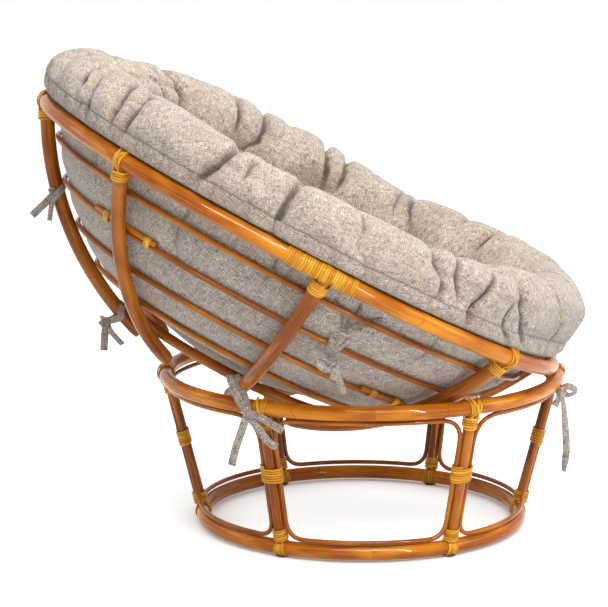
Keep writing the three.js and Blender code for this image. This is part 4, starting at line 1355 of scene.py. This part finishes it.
def build_side_tie(cloth):
    """The near ribbon comes out of the cover above a hoop in a gathered bunch, and is knotted below it."""
    radius, height = circle_at(HOOP_DEPTHS[1], HOOP_TUBE)
    angle = math.radians(SIDE_TIE_ANGLE)
    turned = BOWL_PLACE.to_3x3()
    pole = BOWL_PLACE @ (outwards(angle) * radius + UP * height)
    out = (turned @ (outwards(angle) * radius + UP * height)).normalized()
    along = (turned @ outwards(angle + math.pi / 2)).normalized()
    side = along.cross(out).normalized()
    side = -side if side.z < 0 else side
    down = Vector((-0.1, -0.05, -1)).normalized()
    reach = HOOP_TUBE + 0.0018
    centre = pole + out * 0.012 + down * 0.026
    strips = []
    for k, spread in enumerate((-0.017, -0.006, 0.006, 0.016)):
        layer = out * (0.0022 * (k % 2))
        points = [
            pole + side * 0.030 - out * 0.0035 + along * spread,
            pole + side * 0.014 + out * 0.003 + along * (spread * 0.7) + layer,
            pole + out * (reach + 0.002) + along * (spread * 0.45) + layer,
            pole + out * (reach + 0.005) - side * 0.010 + along * (spread * 0.3) + layer,
            centre + along * (spread * 0.12),
        ]
        tilt = along * (spread * 30)
        strips.append((points, [(out + tilt).normalized()] * 4 + [out]))
    strips.append(knot(centre, down, out, 0.0078))
    loop = (
        (0.000, 0.003, 0.000),
        (0.014, 0.008, -0.008),
        (0.028, 0.010, -0.004),
        (0.031, 0.012, 0.008),
        (0.016, 0.010, 0.010),
        (0.000, 0.004, 0.002),
    )
    points = [centre + along * a + out * b - down * c for a, b, c in loop]
    strips.append((points, [out, out - down * 0.5, out - down, (out + down * 0.2), out + down * 0.8, out]))
    fold = [centre, centre + down * 0.014 + out * 0.005, centre + down * 0.027 + out * 0.002 + along * 0.003]
    strips.append((fold, [out, out, out + along * 0.4]))
    tail = [(0.000, 0.000, 0.002), (-0.008, 0.010, 0.004), (-0.013, 0.026, 0.003), (-0.019, 0.044, 0.000)]
    points = [centre + along * a + down * b + out * c for a, b, c in tail]
    strips.append((points, [out, (out - along).normalized(), (out - along * 0.4).normalized(), out]))
    tie("side_tie", strips, 0.0125, "tie_hoop", cloth)


def hung(centre, *strips):
    """Strips from the knot's centre through places in millimetres, each with its facings."""
    return [([centre] + placed(*places), facing(*ways)) for places, ways in strips]


def build_ring_ties(cloth):
    near, away = (-1, 0.25, 0.1), (-1, 0.1, 0.7)
    centre = placed((-333, 247, 297))[0]
    strips = []
    for shift in (-6.5, 6.5):
        run = placed(
            (-286, 268 + shift, 352),
            (-297, 272 + shift, 360),
            (-311, 268 + shift, 347),
            (-325, 258 + shift, 323),
            (-334, 249 + shift * 0.3, 300),
        )
        strips.append((run, facing((0, 0.2, 1), (-0.7, 0.3, 0.8), (-1, 0.4, 0.4), near, near)))
    strips.append(knot(centre, Vector((0, -0.3, -1)).normalized(), Vector((-1, 0, 0)), 0.0066))
    strips += hung(
        centre,
        (((-337, 259, 262), (-334, 270, 228), (-333, 277, 197)), (near, near, near, near)),
        (((-342, 230, 272), (-345, 212, 246), (-343, 194, 232)), (near, near, near, near)),
        (((-345, 222, 289), (-347, 202, 276), (-345, 182, 264)), (near, away, away, near)),
    )
    tie("ring_tie_1", strips, 0.0150, "tie_ring_1", cloth)

    front = (-0.8, -0.6, 0.1)
    centre = placed((-122, -383, 282))[0]
    strap = placed(
        (-104, -330, 350),
        (-108, -348, 332),
        (-114, -366, 314),
        (-120, -377, 300),
        (-122, -382, 284),
    )
    strips = [(strap, facing((0, -0.4, 1), (0, -0.6, 1), (-0.4, -0.8, 0.8), front, front))]
    strips.append(knot(centre, Vector((0, 0, -1)), Vector((-0.6, -0.8, 0)), 0.0066))
    bow = placed(
        (-122, -384, 285),
        (-127, -394, 293),
        (-126, -408, 288),
        (-122, -410, 279),
        (-118, -398, 273),
        (-122, -386, 279),
    )
    sides = ((-0.8, 0.2, 0.6), (-0.8, -0.1, 0.6), (-0.8, -0.5, 0.3), (-0.8, -0.5, -0.3), (-0.7, -0.2, -0.7))
    strips.append((bow, facing(*sides, front)))
    tail = ((-124, -389, 250), (-122, -393, 210), (-122, -396, 165), (-120, -392, 120))
    turning = ((-0.5, -1, 0), (-0.8, -0.6, 0), (-1, -0.3, 0), (-1, 0.1, 0), (-0.3, 1, 0))
    strips += hung(
        centre,
        (((-126, -377, 268), (-124, -370, 254)), (front, front, (-1, 0.2, 0))),
        (tail, turning),
    )
    tie("ring_tie_2", strips, 0.0150, "tie_ring_2", cloth)


place_camera()
light_studio()
lay_floor()
grain = rattan_grain()
ring_finish = varnished(
    "varnished_ring", grain, dark=(0.28, 0.056, 0.002), mid=(0.66, 0.178, 0.003), light=(0.88, 0.31, 0.010)
)
# Painted shade: a darker copy of the rings' rattan, for the posts, legs and lower ring, which catch less
# light
shaded_pole_finish = varnished(
    "varnished_pole_painted_shade", grain, dark=(0.16, 0.030, 0.002), mid=(0.42, 0.105, 0.005), light=(0.60, 0.190, 0.012)
)
cane_finish = varnished(
    "varnished_cane", grain, dark=(0.20, 0.042, 0.002), mid=(0.47, 0.130, 0.005), light=(0.64, 0.215, 0.012)
)
strand_finish = varnished(
    "varnished_strand",
    grain,
    dark=(0.52, 0.155, 0.003),
    mid=(0.90, 0.38, 0.012),
    light=(0.98, 0.56, 0.05),
    coat=0.25,
    bump=0.15,
)
rubber = dark_rubber()
weave = linen_weave()
cover_cloth = linen_cloth("cushion_linen", weave, tint=(0.985, 0.955, 0.93))
tie_cloth = linen_cloth("tie_linen", weave, tint=(0.86, 0.845, 0.84))

build_base(ring_finish, shaded_pole_finish, cane_finish, strand_finish, rubber)
build_bowl(ring_finish, shaded_pole_finish, cane_finish, strand_finish)
build_hoop_laps(cane_finish, strand_finish)
build_cushion(cover_cloth)
build_rear_ties(tie_cloth)
build_side_tie(tie_cloth)
build_ring_ties(tie_cloth)
